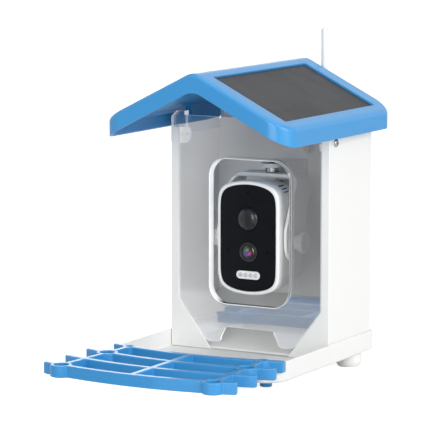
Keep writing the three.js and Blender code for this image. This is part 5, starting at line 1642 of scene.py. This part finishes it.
@dataclass
class Camera:
    """The camera head: bezel, rear shell, face, dome, lens and lamps."""

    bench: Bench
    across_power: float = 1.87
    upright_power: float = 9.7
    wall: float = 2.2
    bezel_depth: float = 14.0
    bezel_rim: float = 3.2
    bezel_round: float = 2.2
    bezel_wall: float = 1.3
    shelf: float = 2.0
    rear_depth: float = 52.0
    face: float = 2.2
    face_round: float = 0.3
    recess: float = 0.6
    dome: float = 21.5
    dome_rise: float = 18.3
    dome_bulge: float = 4.6
    lens: float = 13.5
    lens_ring: float = 2.6
    lens_drop: float = 13.5
    lens_depth: float = 9.0
    lens_bulge: float = 1.6
    barrel_chamfer: float = 0.3
    baffles: tuple[Point, ...] = ((0.0, 1.3), (0.7, 1.2), (0.7, 0.8), (1.4, 0.7), (1.4, 0.3), (1.7, 0.0))
    bar_width: float = 25.4
    bar_height: float = 7.8
    bar_thickness: float = 1.2
    bar_drop: float = 35.6
    bar_round: float = 0.35
    lamps: int = 4
    lamp: float = 4.0
    sound_hole: float = 1.6
    sound_side: float = 21.0
    sound_drop: float = 12.4
    status_rise: float = 43.4
    button: float = 9.0
    button_rise: float = 24.0
    button_cut: float = 6.0
    port_half: Point = (8.0, 4.5)
    port_drop: float = 24.0
    port_depth: float = 1.2
    port_corner: float = 2.0
    slits: int = 3
    slit_rise: float = 49.4
    slit_ahead: float = 1.6
    slit_pitch: float = 2.7
    slit_length: float = 11.0
    slit_half: float = 0.55
    slit_depth: float = 0.8
    insert: float = 8.0
    lamp_groove: float = 0.35
    lamp_seat: float = 0.4
    lamp_bulge: float = 0.6
    lamp_root: float = 0.7
    chamfer: float = 0.4
    gap: float = GAP
    stations: tuple[Spot, ...] = (
        (0, 0.14, 0.18), (0.22, 0.27, 0.6), (0.46, 0.55, 1.25), (0.64, 0.9, 1.9),
        (0.83, 2, 3.1), (0.95, 4.3, 5.3), (1, 6.6, 7.8))

    def __post_init__(self) -> None:
        """Takes the head's place from the frame."""
        low, high = (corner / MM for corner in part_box("camera_front_bezel"))
        self.half = high.x
        self.tall = (high.z - low.z) / 2
        self.centre = (high.z + low.z) / 2
        self.front = low.y - self.bench.house_front
        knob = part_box("tilt_knob_right")
        self.tilt = ((knob[0].y + knob[1].y) / 2 / MM - self.bench.house_front,
                     (knob[0].z + knob[1].z) / 2 / MM)

    def outline(self, inset_x: float, inset_z: float | None = None, steps: int = 22) -> list[Point]:
        """Outline of the head: straight sides with a bowed top and bottom, anticlockwise.

        Args:
            inset_x: how far it is narrowed on each side.
            inset_z: how far it is narrowed at the top and the bottom, where that differs.
            steps: chords in each quarter.

        Returns:
            Its points.
        """
        inset_z = inset_x if inset_z is None else inset_z
        quarter = []
        for step in range(steps + 1):
            turn = math.pi / 2 * (step / steps) ** 1.5
            quarter.append(((self.half - inset_x) * max(0.0, math.cos(turn)) ** (2 / self.across_power),
                            (self.tall - inset_z) * math.sin(turn) ** (2 / self.upright_power)))
        upper = quarter + [(-x, z) for x, z in quarter[-2::-1]]
        return [(x, self.centre + z) for x, z in upper + [(-x, -z) for x, z in upper[1:-1]]]

    def ring(self, back: float, inset_x: float, inset_z: float | None = None) -> list[Vector]:
        """Section of the head at one depth behind the bezel's front."""
        return [Plane.FACING.place(x, z, self.front + back) for x, z in self.outline(inset_x, inset_z)]

    def curve(self, radius: float, step: int) -> list[Point]:
        """Depths and insets of a quarter round from a face to a side."""
        return oval((radius, radius), (-radius, -radius), range(0, 91, step))

    def build_bezel(self) -> None:
        """Builds the white front ring with its rounded nose."""
        pocket = self.recess + self.face + self.gap
        inner = self.bezel_wall * self.wall
        rings = [self.ring(back, inset) for back, inset in self.curve(self.bezel_round, 10)]
        rings += [self.ring(self.bezel_depth - self.chamfer, self.gap),
                  self.ring(self.bezel_depth, self.gap + self.chamfer),
                  self.ring(self.bezel_depth, inner), self.ring(pocket + self.shelf, inner),
                  self.ring(pocket + self.shelf, self.bezel_rim + 2 * self.shelf),
                  self.ring(pocket, self.bezel_rim + 2 * self.shelf), self.ring(pocket, self.bezel_rim)]
        mouth = reversed(self.curve(self.chamfer, 30))
        rings += [self.ring(back, self.bezel_rim - inset) for back, inset in mouth]
        self.bench.place(loft("camera_front_bezel_fine", rings, loop=True), "camera_front_bezel")

    def station(self, share: float) -> Spot:
        """A smooth section of the rear shell between the listed ones.

        Args:
            share: share of the shell's depth.

        Returns:
            The share, and what each side and the top draw in as multiples of the wall.
        """
        table = self.stations
        place = max(number for number in range(len(table) - 1) if table[number][0] <= share)
        rows = [table[max(0, min(len(table) - 1, place + step))] for step in (-1, 0, 1, 2)]
        width = rows[2][0] - rows[1][0]
        part = (share - rows[1][0]) / width
        values = []
        for column in (1, 2):
            start = (rows[2][column] - rows[0][column]) / max(1e-6, rows[2][0] - rows[0][0]) * width
            end = (rows[3][column] - rows[1][column]) / max(1e-6, rows[3][0] - rows[1][0]) * width
            a, b = rows[1][column], rows[2][column]
            values.append(a * (1 + 2 * part) * (1 - part) ** 2 + start * part * (1 - part) ** 2
                          + b * part ** 2 * (3 - 2 * part) + end * part ** 2 * (part - 1))
        return (share, values[0], values[1])

    def build_rear_shell(self) -> None:
        """Builds the tapered rear shell with its pivot holes, button hole and port recess."""
        start = self.bezel_depth + self.gap
        steps = 30
        sections = [self.station(step / steps) for step in range(steps + 1)]
        outer = [self.ring(start + share * self.rear_depth, side * self.wall, top * self.wall)
                 for share, side, top in sections]
        inner = [self.ring(start + share * (self.rear_depth - self.wall), (side + 1) * self.wall,
                           (top + 1) * self.wall) for share, side, top in self.stations[:-1]]
        shell = loft("camera_rear_shell_fine", inner[::-1] + outer)
        back = self.front + start + self.rear_depth
        wide = self.half + OVERRUN
        drill(shell, self.insert / 2 + self.gap, -wide, wide, Plane.SIDE, self.tilt)
        radius = self.button / 2 + self.gap
        deep, mouth = back - self.button_cut, radius + self.chamfer
        hole = [(CORE, deep), (radius, deep), (radius, back - self.chamfer), (mouth, back),
                (mouth, back + OVERRUN), (CORE, back + OVERRUN)]
        combine(shell, lathe("button hole", hole, Plane.FACING, (0, self.centre + self.button_rise), 48),
                Join.CUT)
        loop = rounded_rectangle(self.port_half[0] + self.gap, self.port_half[1] + self.gap,
                                 self.port_corner + self.gap, (0, self.centre - self.port_drop), 6)
        port = plate("port", [loop], back - self.port_depth, back + OVERRUN, Plane.FACING)
        combine(shell, port, Join.CUT)
        for number in range(self.slits):
            height = self.centre + self.slit_rise - number * self.slit_pitch
            near = self.front + start + self.slit_ahead
            low, high = height - self.slit_half, height + self.slit_half
            far = near + self.slit_length
            slit = [(near, low), (far, low), (far, high), (near, high)]
            rise = ((height - self.centre) / self.tall) ** (self.upright_power / 2)
            skin = self.half * math.sqrt(1 - rise * rise) ** (2 / self.across_power)
            combine(shell, plate("slit", [slit], skin - 4 * self.slit_depth, self.half + 1, Plane.SIDE),
                    Join.CUT)
            cloth = plate(f"slit_cloth_{number + 1}", [slit], skin - 3 * self.slit_depth,
                          skin - 2 * self.slit_depth, Plane.SIDE)
            self.bench.place(cloth, "camera_rear_shell", Slot.BLACK_RUBBER, stands_for=False)
        self.bench.place(shell, "camera_rear_shell")

    def build_face(self) -> None:
        """Builds the glossy face with its openings."""
        holes = [circle(self.dome / 2 + self.gap, (0, self.centre + self.dome_rise), 72),
                 circle(self.lens / 2 + self.lens_ring + self.gap, (0, self.centre - self.lens_drop), 72),
                 circle(self.sound_hole / 2, (0, self.centre + self.status_rise), 20),
                 self.bar_outline(self.gap)]
        holes += [circle(self.sound_hole / 2, (side * self.sound_side, self.centre - self.sound_drop), 20)
                  for side, _ in SIDES]
        near = self.front + self.recess
        face = plate("camera_face_fine", [self.outline(self.bezel_rim + self.gap)], near, near + self.face,
                     Plane.FACING, holes=holes)
        self.bench.place(round_edges(face, self.face_round, 2), "camera_face")

    def bar_outline(self, grow: float) -> list[Point]:
        """Outline of the lamp window, grown by a clearance all round."""
        half, centre = self.bar_height / 2 + grow, (0, self.centre - self.bar_drop)
        return rounded_rectangle(self.bar_width / 2 + grow, half, half - HAIR, centre, 16)

    def build_dome(self) -> None:
        """Builds the domed window of the motion sensor."""
        radius, rim = self.dome / 2, self.front + self.recess
        profile = [(CORE, rim + self.face), (radius, rim + self.face),
                   *oval((0, rim), (radius, -self.dome_bulge), range(0, 90, 5)),
                   (CORE, rim - self.dome_bulge)]
        centre = (0, self.centre + self.dome_rise)
        self.bench.place(lathe("pir_dome_fine", profile, Plane.FACING, centre), "pir_dome")

    def build_lens(self) -> None:
        """Builds the stepped lens barrel and the domed front lens."""
        centre = (0, self.centre - self.lens_drop)
        near = self.front + self.recess - self.gap
        outer, bore = self.lens / 2 + self.lens_ring, self.lens / 2 + self.gap
        seat = near + self.lens_ring
        far, inner = self.front + self.lens_depth, bore - self.lens_ring
        edge = self.barrel_chamfer
        profile = [(outer - edge, near), (outer, near + edge), (outer, far), (inner, far),
                   (inner, seat + edge), (bore, seat + edge),
                   *[(bore + out, near + deep) for out, deep in self.baffles]]
        self.bench.place(lathe("lens_barrel_fine", profile, Plane.FACING, centre, loop=True), "lens_barrel")
        radius = self.lens / 2
        dome = [(radius * math.sin(math.radians(turn)),
                 near + self.lens_bulge * (1 - math.cos(math.radians(turn)))) for turn in range(90, 4, -6)]
        lens = [(CORE, seat), (radius, seat), *dome, (CORE, near)]
        self.bench.place(lathe("lens_glass_fine", lens, Plane.FACING, centre), "lens_glass")

    def build_lamps(self) -> None:
        """Builds the lamp window and the small lens in front of each lamp."""
        near = self.front + self.recess
        bar = plate("led_window_fine", [self.bar_outline(0)], near, near + self.bar_thickness, Plane.FACING)
        round_edges(bar, self.bar_round)
        pitch = (self.bar_width - self.lamp) / self.lamps
        for number in range(self.lamps):
            centre = ((number - (self.lamps - 1) / 2) * pitch, self.centre - self.bar_drop)
            radius = self.lamp / 2
            drill(bar, radius + self.lamp_groove, near - OVERRUN, near + self.lamp_seat, Plane.FACING, centre)
            profile = [(CORE, near + self.lamp_root), (radius, near + self.lamp_root),
                       *oval((0, near), (radius, -self.lamp_bulge), range(0, 90, 10)),
                       (CORE, near - self.lamp_bulge)]
            cap = lathe(f"lamp_lens_{number + 1}", profile, Plane.FACING, centre, 48)
            self.bench.place(cap, f"led_{number + 1}", stands_for=False)
        self.bench.place(bar, "led_window")

    def build(self) -> None:
        """Builds the head."""
        self.build_bezel()
        self.build_rear_shell()
        self.build_face()
        self.build_dome()
        self.build_lens()
        self.build_lamps()


@dataclass
class Mount:
    """What holds the camera: the yoke, its two tilt knobs, the stud with its nut, and all screws."""

    bench: Bench
    thickness: float = 3.2
    rounding: float = 0.8
    lobe: float = 20.0
    top_front: float = 36.0
    top_depth: float = 22.0
    back_shares: Point = (0.45, 0.72)
    front_pull: Point = (0.35, 0.25)
    front_share: float = 0.2
    bend: float = 12.0
    arm_hole: float = 5.2
    stud_hole: float = 7.0
    collar: float = 14.0
    collar_length: float = 5.0
    collar_chamfer: float = 0.5
    grip: float = 21.0
    grip_length: float = 5.5
    hub: float = 9.0
    hub_recess: float = 1.2
    hub_chamfers: Point = (0.3, 0.4)
    lobes: int = 8
    lobe_depth: float = 0.9
    stud: float = 4.6
    nut: float = 13.0
    nut_height: float = 4.4
    hanging_stud: float = 6.3
    thread: float = 0.35
    thread_pitch: float = 0.8
    ridges: int = 36
    ridge_depth: float = 0.3
    stud_chamfer: float = 0.3
    nut_round: float = 0.35
    screw_head: float = 2.2
    screw_shank: float = 1.7
    screw_brim: float = 0.2
    screw_side: float = 0.6
    cross: float = 1.2
    cross_share: float = 0.6
    gap: float = GAP

    def __post_init__(self) -> None:
        """Takes the places from the frame."""
        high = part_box("camera_yoke")[1] / MM
        self.outer = high.x
        self.inner = high.x - self.thickness
        self.top = high.z
        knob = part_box("tilt_knob_right")
        self.tilt = ((knob[0].y + knob[1].y) / 2 / MM - self.bench.house_front,
                     (knob[0].z + knob[1].z) / 2 / MM)
        self.swivel = self.top_front + self.top_depth / 2

    def front_outline(self) -> list[Point]:
        """The yoke from the front: a flat top with bent corners and two straight arms.

        Returns:
            Its outline.
        """
        low, tight = self.tilt[1] - self.lobe - OVERRUN, self.bend - self.thickness
        under = self.top - self.thickness
        outline = [(self.outer, low)]
        outline += arc((self.outer - self.bend, self.top - self.bend), self.bend, 0, 90, 14)
        outline += arc((-self.outer + self.bend, self.top - self.bend), self.bend, 90, 180, 14)
        outline += [(-self.outer, low), (-self.inner, low)]
        outline += arc((-self.inner + tight, under - tight), tight, 180, 90, 14)
        outline += arc((self.inner - tight, under - tight), tight, 90, 0, 14)
        return outline + [(self.inner, low)]

    def side_outline(self) -> list[Point]:
        """The yoke from the side: a broad lobe at the tilt axis that leans back to the top plate.

        Returns:
            Its outline.
        """
        y, z = self.tilt
        back, rise, lobe = self.top_front + self.top_depth, self.top - z, self.lobe
        outline = arc((y, z), lobe, 180, 360, 36)
        heights = [z + rise * share for share in self.back_shares]
        outline += quadratic((y + lobe, z), (y + lobe, heights[0]), (back, heights[1]), 18)[1:]
        outline += [(back, self.top), (self.top_front, self.top)]
        pull = (y - lobe * self.front_pull[0], self.top - rise * self.front_pull[1])
        end = (y - lobe, z + rise * self.front_share)
        return outline + quadratic((self.top_front, self.top), pull, end, 18)[1:]

    def build_yoke(self) -> None:
        """Builds the bent bracket."""
        wide = self.outer + OVERRUN
        yoke = plate("camera_yoke_fine", [self.front_outline()], self.tilt[0] - self.lobe - OVERRUN,
                     self.top_front + self.top_depth + OVERRUN, Plane.FACING)
        side = plate("side", [self.side_outline()], -wide, wide, Plane.SIDE)
        combine(yoke, side, Join.SHARE)
        round_edges(yoke, self.rounding)
        drill(yoke, self.arm_hole / 2, -wide, wide, Plane.SIDE, self.tilt, 40)
        drill(yoke, self.stud_hole / 2, self.top - self.thickness - OVERRUN, self.top + OVERRUN,
              Plane.LEVEL, (0, self.swivel), 40)
        self.bench.place(yoke, "camera_yoke")

    def grip_outline(self) -> list[Point]:
        """Scalloped outline of a knob's grip.

        Returns:
            Its points.
        """
        points = []
        steps = self.lobes * 12
        for step in range(steps):
            turn = step / steps * 2 * math.pi
            radius = self.grip / 2 - self.lobe_depth * (1 - math.cos(self.lobes * turn)) / 2
            points.append((self.tilt[0] + radius * math.cos(turn), self.tilt[1] + radius * math.sin(turn)))
        return points

    def build_knob(self, side: int, word: str) -> None:
        """Builds one tilt knob with its collar, scalloped grip and sunk hub.

        Args:
            side: -1 for the left and 1 for the right.
            word: the side's name.
        """
        start = self.outer + self.gap
        end = start + self.collar_length + self.grip_length
        stud_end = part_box(f"tilt_knob_{word}")[0 if side > 0 else 1].x / MM * side
        radius = self.collar / 2
        root, edge = start + self.collar_length + OVERRUN, self.collar_chamfer
        profile = [(CORE, stud_end), (self.stud / 2, stud_end), (self.stud / 2, start),
                   (radius - edge, start), (radius, start + edge), (radius, root), (CORE, root)]
        knob = lathe(f"tilt_knob_{word}_fine", [(reach, side * out) for reach, out in profile],
                     Plane.SIDE, self.tilt, 64)
        spans = sorted((side * (start + self.collar_length), side * end))
        grip = plate("grip", [self.grip_outline()], spans[0], spans[1], Plane.SIDE)
        combine(knob, round_edges(grip, self.rounding), Join.ADD)
        floor, mouth, (low, high) = end - self.hub_recess, self.hub / 2, self.hub_chamfers
        hub = [(CORE, floor), (mouth - low, floor), (mouth, floor + low), (mouth, end - high),
               (mouth + high, end), (mouth + high, end + OVERRUN), (CORE, end + OVERRUN)]
        sunk = lathe("hub", [(reach, side * out) for reach, out in hub], Plane.SIDE, self.tilt, 64)
        combine(knob, sunk, Join.CUT)
        self.bench.place(knob, f"tilt_knob_{word}")

    def build_stud(self) -> None:
        """Builds the hanging stud with its thread and its knurled nut."""
        low, high = (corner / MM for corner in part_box("yoke_screw"))
        radius, nut_low = self.hanging_stud / 2, self.top + self.gap
        edge = self.stud_chamfer
        profile = [(CORE, low.z), (radius - edge, low.z), (radius, low.z + edge), (radius, nut_low + 1)]
        crest = nut_low + self.nut_height
        while crest < high.z - 1:
            profile += [(radius, crest), (radius - self.thread, crest + self.thread_pitch / 2)]
            crest += self.thread_pitch
        profile += [(radius, high.z - 0.5), (radius - 0.5, high.z), (CORE, high.z)]
        screw = lathe("yoke_screw_fine", profile, Plane.LEVEL, (0, self.swivel), 48)
        outline = []
        for step in range(self.ridges * 2):
            turn = math.pi * step / self.ridges
            reach = self.nut / 2 - (self.ridge_depth if step % 2 else 0.0)
            outline.append((reach * math.cos(turn), self.swivel + reach * math.sin(turn)))
        nut = plate("nut", [outline], nut_low, nut_low + self.nut_height)
        combine(screw, round_edges(nut, self.nut_round, 2, 50), Join.ADD)
        self.bench.place(screw, "yoke_screw")

    def build_screw(self, node: str, plane: Plane, out: int) -> None:
        """Builds one pan-head screw with a cross recess.

        Args:
            node: the screw's CAD node.
            plane: the plane that the screw stands out of.
            out: 1 where its head points along the plane's normal and -1 where it points back.
        """
        low, high = (corner / MM - Vector((0, self.bench.house_front, 0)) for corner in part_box(node))
        middle = (low + high) / 2
        side = plane is Plane.SIDE
        centre = (middle.y if side else middle.x, middle.z)
        span = (low.x, high.x) if side else (low.y, high.y)
        tip, crown = span if out > 0 else span[::-1]
        radius, height, shank = (high.z - low.z) / 2, self.screw_head, self.screw_shank
        seat = crown - out * height
        brim = self.screw_brim
        profile = [(CORE, tip), (shank, tip), (shank, seat), (radius - brim, seat),
                   (radius, seat + out * brim)]
        profile += [(radius * math.cos(math.radians(turn)),
                     crown - out * (height - self.screw_side) * (1 - math.sin(math.radians(turn))))
                    for turn in range(0, 89, 8)]
        profile += [(CORE, crown)]
        screw = lathe(f"{node}_fine", profile, plane, centre, 48)
        for turn in (0, 1):
            long = radius * self.cross_share
            half = (long, self.cross / 2) if turn else (self.cross / 2, long)
            slot = rounded_rectangle(half[0], half[1], brim, centre, 4)
            spans = sorted((crown - out * self.cross, crown + out * OVERRUN))
            combine(screw, plate("slot", [slot], spans[0], spans[1], plane), Join.CUT)
        self.bench.place(screw, node)

    def build(self) -> None:
        """Builds what holds the camera."""
        self.build_yoke()
        for side, word in SIDES:
            self.build_knob(side, word)
            self.build_screw(f"pivot_screw_{word}", Plane.SIDE, side)
            self.build_screw(f"hanger_screw_{word}", Plane.FACING, -1)
        self.build_stud()


@dataclass
class Antenna:
    """The whip behind the house."""

    bench: Bench
    root: float = 7.6
    tip: float = 6.4
    knuckle: float = 11.0
    tongue: float = 4.8
    pin: float = 3.0
    pin_reach: float = 5.0
    neck_gap: float = 0.5
    sleeve_step: Point = (0.25, 0.3)
    rounding: float = 0.4
    length: float = 116.0

    def __post_init__(self) -> None:
        """Takes the whip's pivot from the frame's knuckle pin."""
        low, high = (corner / MM - Vector((0, self.bench.house_front, 0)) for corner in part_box("antenna_pin"))
        self.pivot = (low + high) / 2

    def build(self) -> None:
        """Builds the whip with its tongue."""
        neck, root, tip = self.knuckle / 2 + self.neck_gap, self.root / 2, self.tip / 2
        base, end, edge = self.pivot.z, self.pivot.z + self.length, self.rounding
        sleeve = base + neck + self.knuckle
        profile = [(CORE, base + neck), (root - edge, base + neck), (root, base + neck + edge),
                   (root, sleeve), (root - self.sleeve_step[0], sleeve + self.sleeve_step[1]),
                   (tip, base + self.length / 2)]
        profile += [*oval((0, end - tip), (tip, tip), range(0, 85, 7)), (CORE, end)]
        whip = lathe("antenna_whip_fine", profile, Plane.LEVEL, (self.pivot.x, self.pivot.y), 64)
        y, z = self.pivot.y, self.pivot.z
        top = z + neck + OVERRUN
        outline = [(y + root, top), (y - root, top), *arc((y, z), root, 180, 360, 24)]
        half = self.tongue / 2
        tongue = plate("tongue", [outline], self.pivot.x - half, self.pivot.x + half, Plane.SIDE)
        combine(whip, round_edges(tongue, self.rounding, 2), Join.ADD)
        reach = self.pin_reach
        drill(whip, self.pin / 2, self.pivot.x - reach, self.pivot.x + reach, Plane.SIDE, (y, z), 32)
        self.bench.place(whip, "antenna_whip")


@dataclass(frozen=True)
class Lamp:
    """One soft square lamp: its place and width in metres and its power in watts."""

    name: str
    place: Spot
    size: float
    power: float

    def hang(self, aim: Spot) -> None:
        """Hangs the lamp.

        Args:
            aim: the place that it faces.
        """
        data = bpy.data.lights.new(self.name, "AREA")
        data.size = self.size
        data.energy = self.power
        lamp = bpy.data.objects.new(self.name, data)
        bpy.context.scene.collection.objects.link(lamp)
        lamp.location = self.place
        lamp.rotation_euler = (Vector(aim) - Vector(self.place)).to_track_quat("-Z", "Y").to_euler()


@dataclass
class Studio:
    """Camera, lamps, room light and floor, measured in metres."""

    lens: float = 218.2
    eye: Spot = (1.1702, -2.10985, 0.4881)
    right: Spot = (0.87267, 0.48830, 0.0)
    up: Spot = (-0.0667, 0.1192, 0.9906)
    back: Spot = (0.48372, -0.86449, 0.13660)
    aim: Spot = (0.0, 0.0, 0.15)
    room_light: float = 0.42
    room_seen: float = 1.0
    floor_half: float = 6.0
    paper: str = "e8e8e8"
    floor_seen: float = 0.8
    floor_mirrored: float = 0.25
    card_left: float = -0.30
    card_right: float = 0.02
    card_top: float = 0.32
    card_ahead: float = 0.18
    card_grading: Point = (-210.0, -50.0)
    card_tones: Stops = (
        (0.0, "f4f4f4"), (0.14, "ebebeb"), (0.29, "d6d6d6"), (0.55, "a8a8a8"), (1.0, "989898"))
    card_foot: float = 80.0
    card_gain: float = 1.12
    lamps: tuple[Lamp, ...] = (
        Lamp("key", (2.0, -0.5, 0.9), 1.4, 27.0), Lamp("fill", (0.3, -2.1, 0.5), 1.2, 19.0),
        Lamp("top", (0.3, 0.2, 2.0), 1.4, 8.0), Lamp("rim", (-1.1, 1.7, 0.34), 0.7, 3.5))

    def build_camera(self) -> None:
        """Sets the camera at the place from which the feeder is seen 29 degrees aside and 8 above."""
        data = bpy.data.cameras.new("view")
        data.sensor_width = 36.0
        data.lens = self.lens
        data.clip_end = 50.0
        camera = bpy.data.objects.new("view", data)
        bpy.context.scene.collection.objects.link(camera)
        turn = Matrix((self.right, self.up, self.back)).transposed().to_4x4()
        camera.matrix_world = Matrix.Translation(self.eye) @ turn
        bpy.context.scene.camera = camera

    def build_room(self) -> None:
        """Fills the room with even light and shows it white to the eye and in reflections."""
        world = bpy.data.worlds.new("room")
        bpy.context.scene.world = world
        nodes = Wiring(world)
        seen = nodes.math("MAXIMUM", nodes.ray("Camera"), nodes.ray("Glossy"))
        soft, plain = (nodes.add("ShaderNodeBackground", {"Color": srgb("ffffff"), "Strength": strength})
                       for strength in (self.room_light, self.room_seen))
        light = nodes.mix(seen, soft.outputs["Background"], plain.outputs["Background"])
        nodes.add("ShaderNodeOutputWorld", {"Surface": light})

    def build_floor(self) -> None:
        """Lays a white floor that keeps the feeder's shadow."""
        shape = bmesh.new()
        bmesh.ops.create_grid(shape, x_segments=1, y_segments=1, size=self.floor_half)
        floor = add_mesh("floor", shape)
        material = bpy.data.materials.new("White paper, matt")
        nodes = Wiring(material)
        seen = nodes.math("MULTIPLY", nodes.ray("Camera"), self.floor_seen)
        lift = nodes.math("MULTIPLY_ADD", nodes.ray("Glossy"), self.floor_mirrored, seen)
        paper = nodes.add("ShaderNodeBsdfDiffuse", {"Color": srgb(self.paper)})
        glow = nodes.add("ShaderNodeEmission", {"Color": srgb("ffffff"), "Strength": lift})
        both = nodes.add("ShaderNodeAddShader", {0: paper.outputs["BSDF"], 1: glow.outputs["Emission"]})
        nodes.add("ShaderNodeOutputMaterial", {"Surface": both.outputs["Shader"]})
        floor.data.materials.append(material)

    def build_card(self) -> None:
        """Stands a graded card before the clear panel, seen only as the panel's reflection."""
        left, right, top = self.card_left, self.card_right, self.card_top
        shape = bmesh.new()
        shape.faces.new([shape.verts.new((x, -self.card_ahead, z))
                         for x, z in ((left, 0.0), (right, 0.0), (right, top), (left, top))])
        card = add_mesh("card", shape)
        material = bpy.data.materials.new("Card, graded from white to grey")
        nodes = Wiring(material)
        parts = nodes.split(nodes.place)
        tone = nodes.ramp(nodes.spread(parts["X"], 0.0, 1.0, *self.card_grading), self.card_tones)
        rise = nodes.spread(parts["Z"], self.card_gain, 1.0, end=self.card_foot)
        glow = nodes.add("ShaderNodeEmission", {"Color": tone, "Strength": rise})
        nodes.add("ShaderNodeOutputMaterial", {"Surface": glow.outputs["Emission"]})
        card.data.materials.append(material)
        card.visible_camera = False
        card.visible_diffuse = False
        card.visible_shadow = False

    def build(self) -> None:
        """Builds the studio."""
        bpy.context.scene.view_settings.view_transform = "Standard"
        self.build_camera()
        self.build_room()
        self.build_floor()
        self.build_card()
        for lamp in self.lamps:
            lamp.hang(self.aim)


def main() -> None:
    """Builds the feeder piece by piece."""
    logging.basicConfig(level=logging.INFO, format="%(name)s %(message)s")
    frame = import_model()
    bench = Bench(frame)
    Studio().build()
    Base(bench).build()
    Perch(bench).build()
    Roof(bench).build()
    Window(bench).build()
    House(bench).build()
    Camera(bench).build()
    Mount(bench).build()
    Antenna(bench).build()
    bench.dress_rest(KEPT_ROUNDINGS, KEPT_FINISHES)


if __name__ == "__main__":
    main()
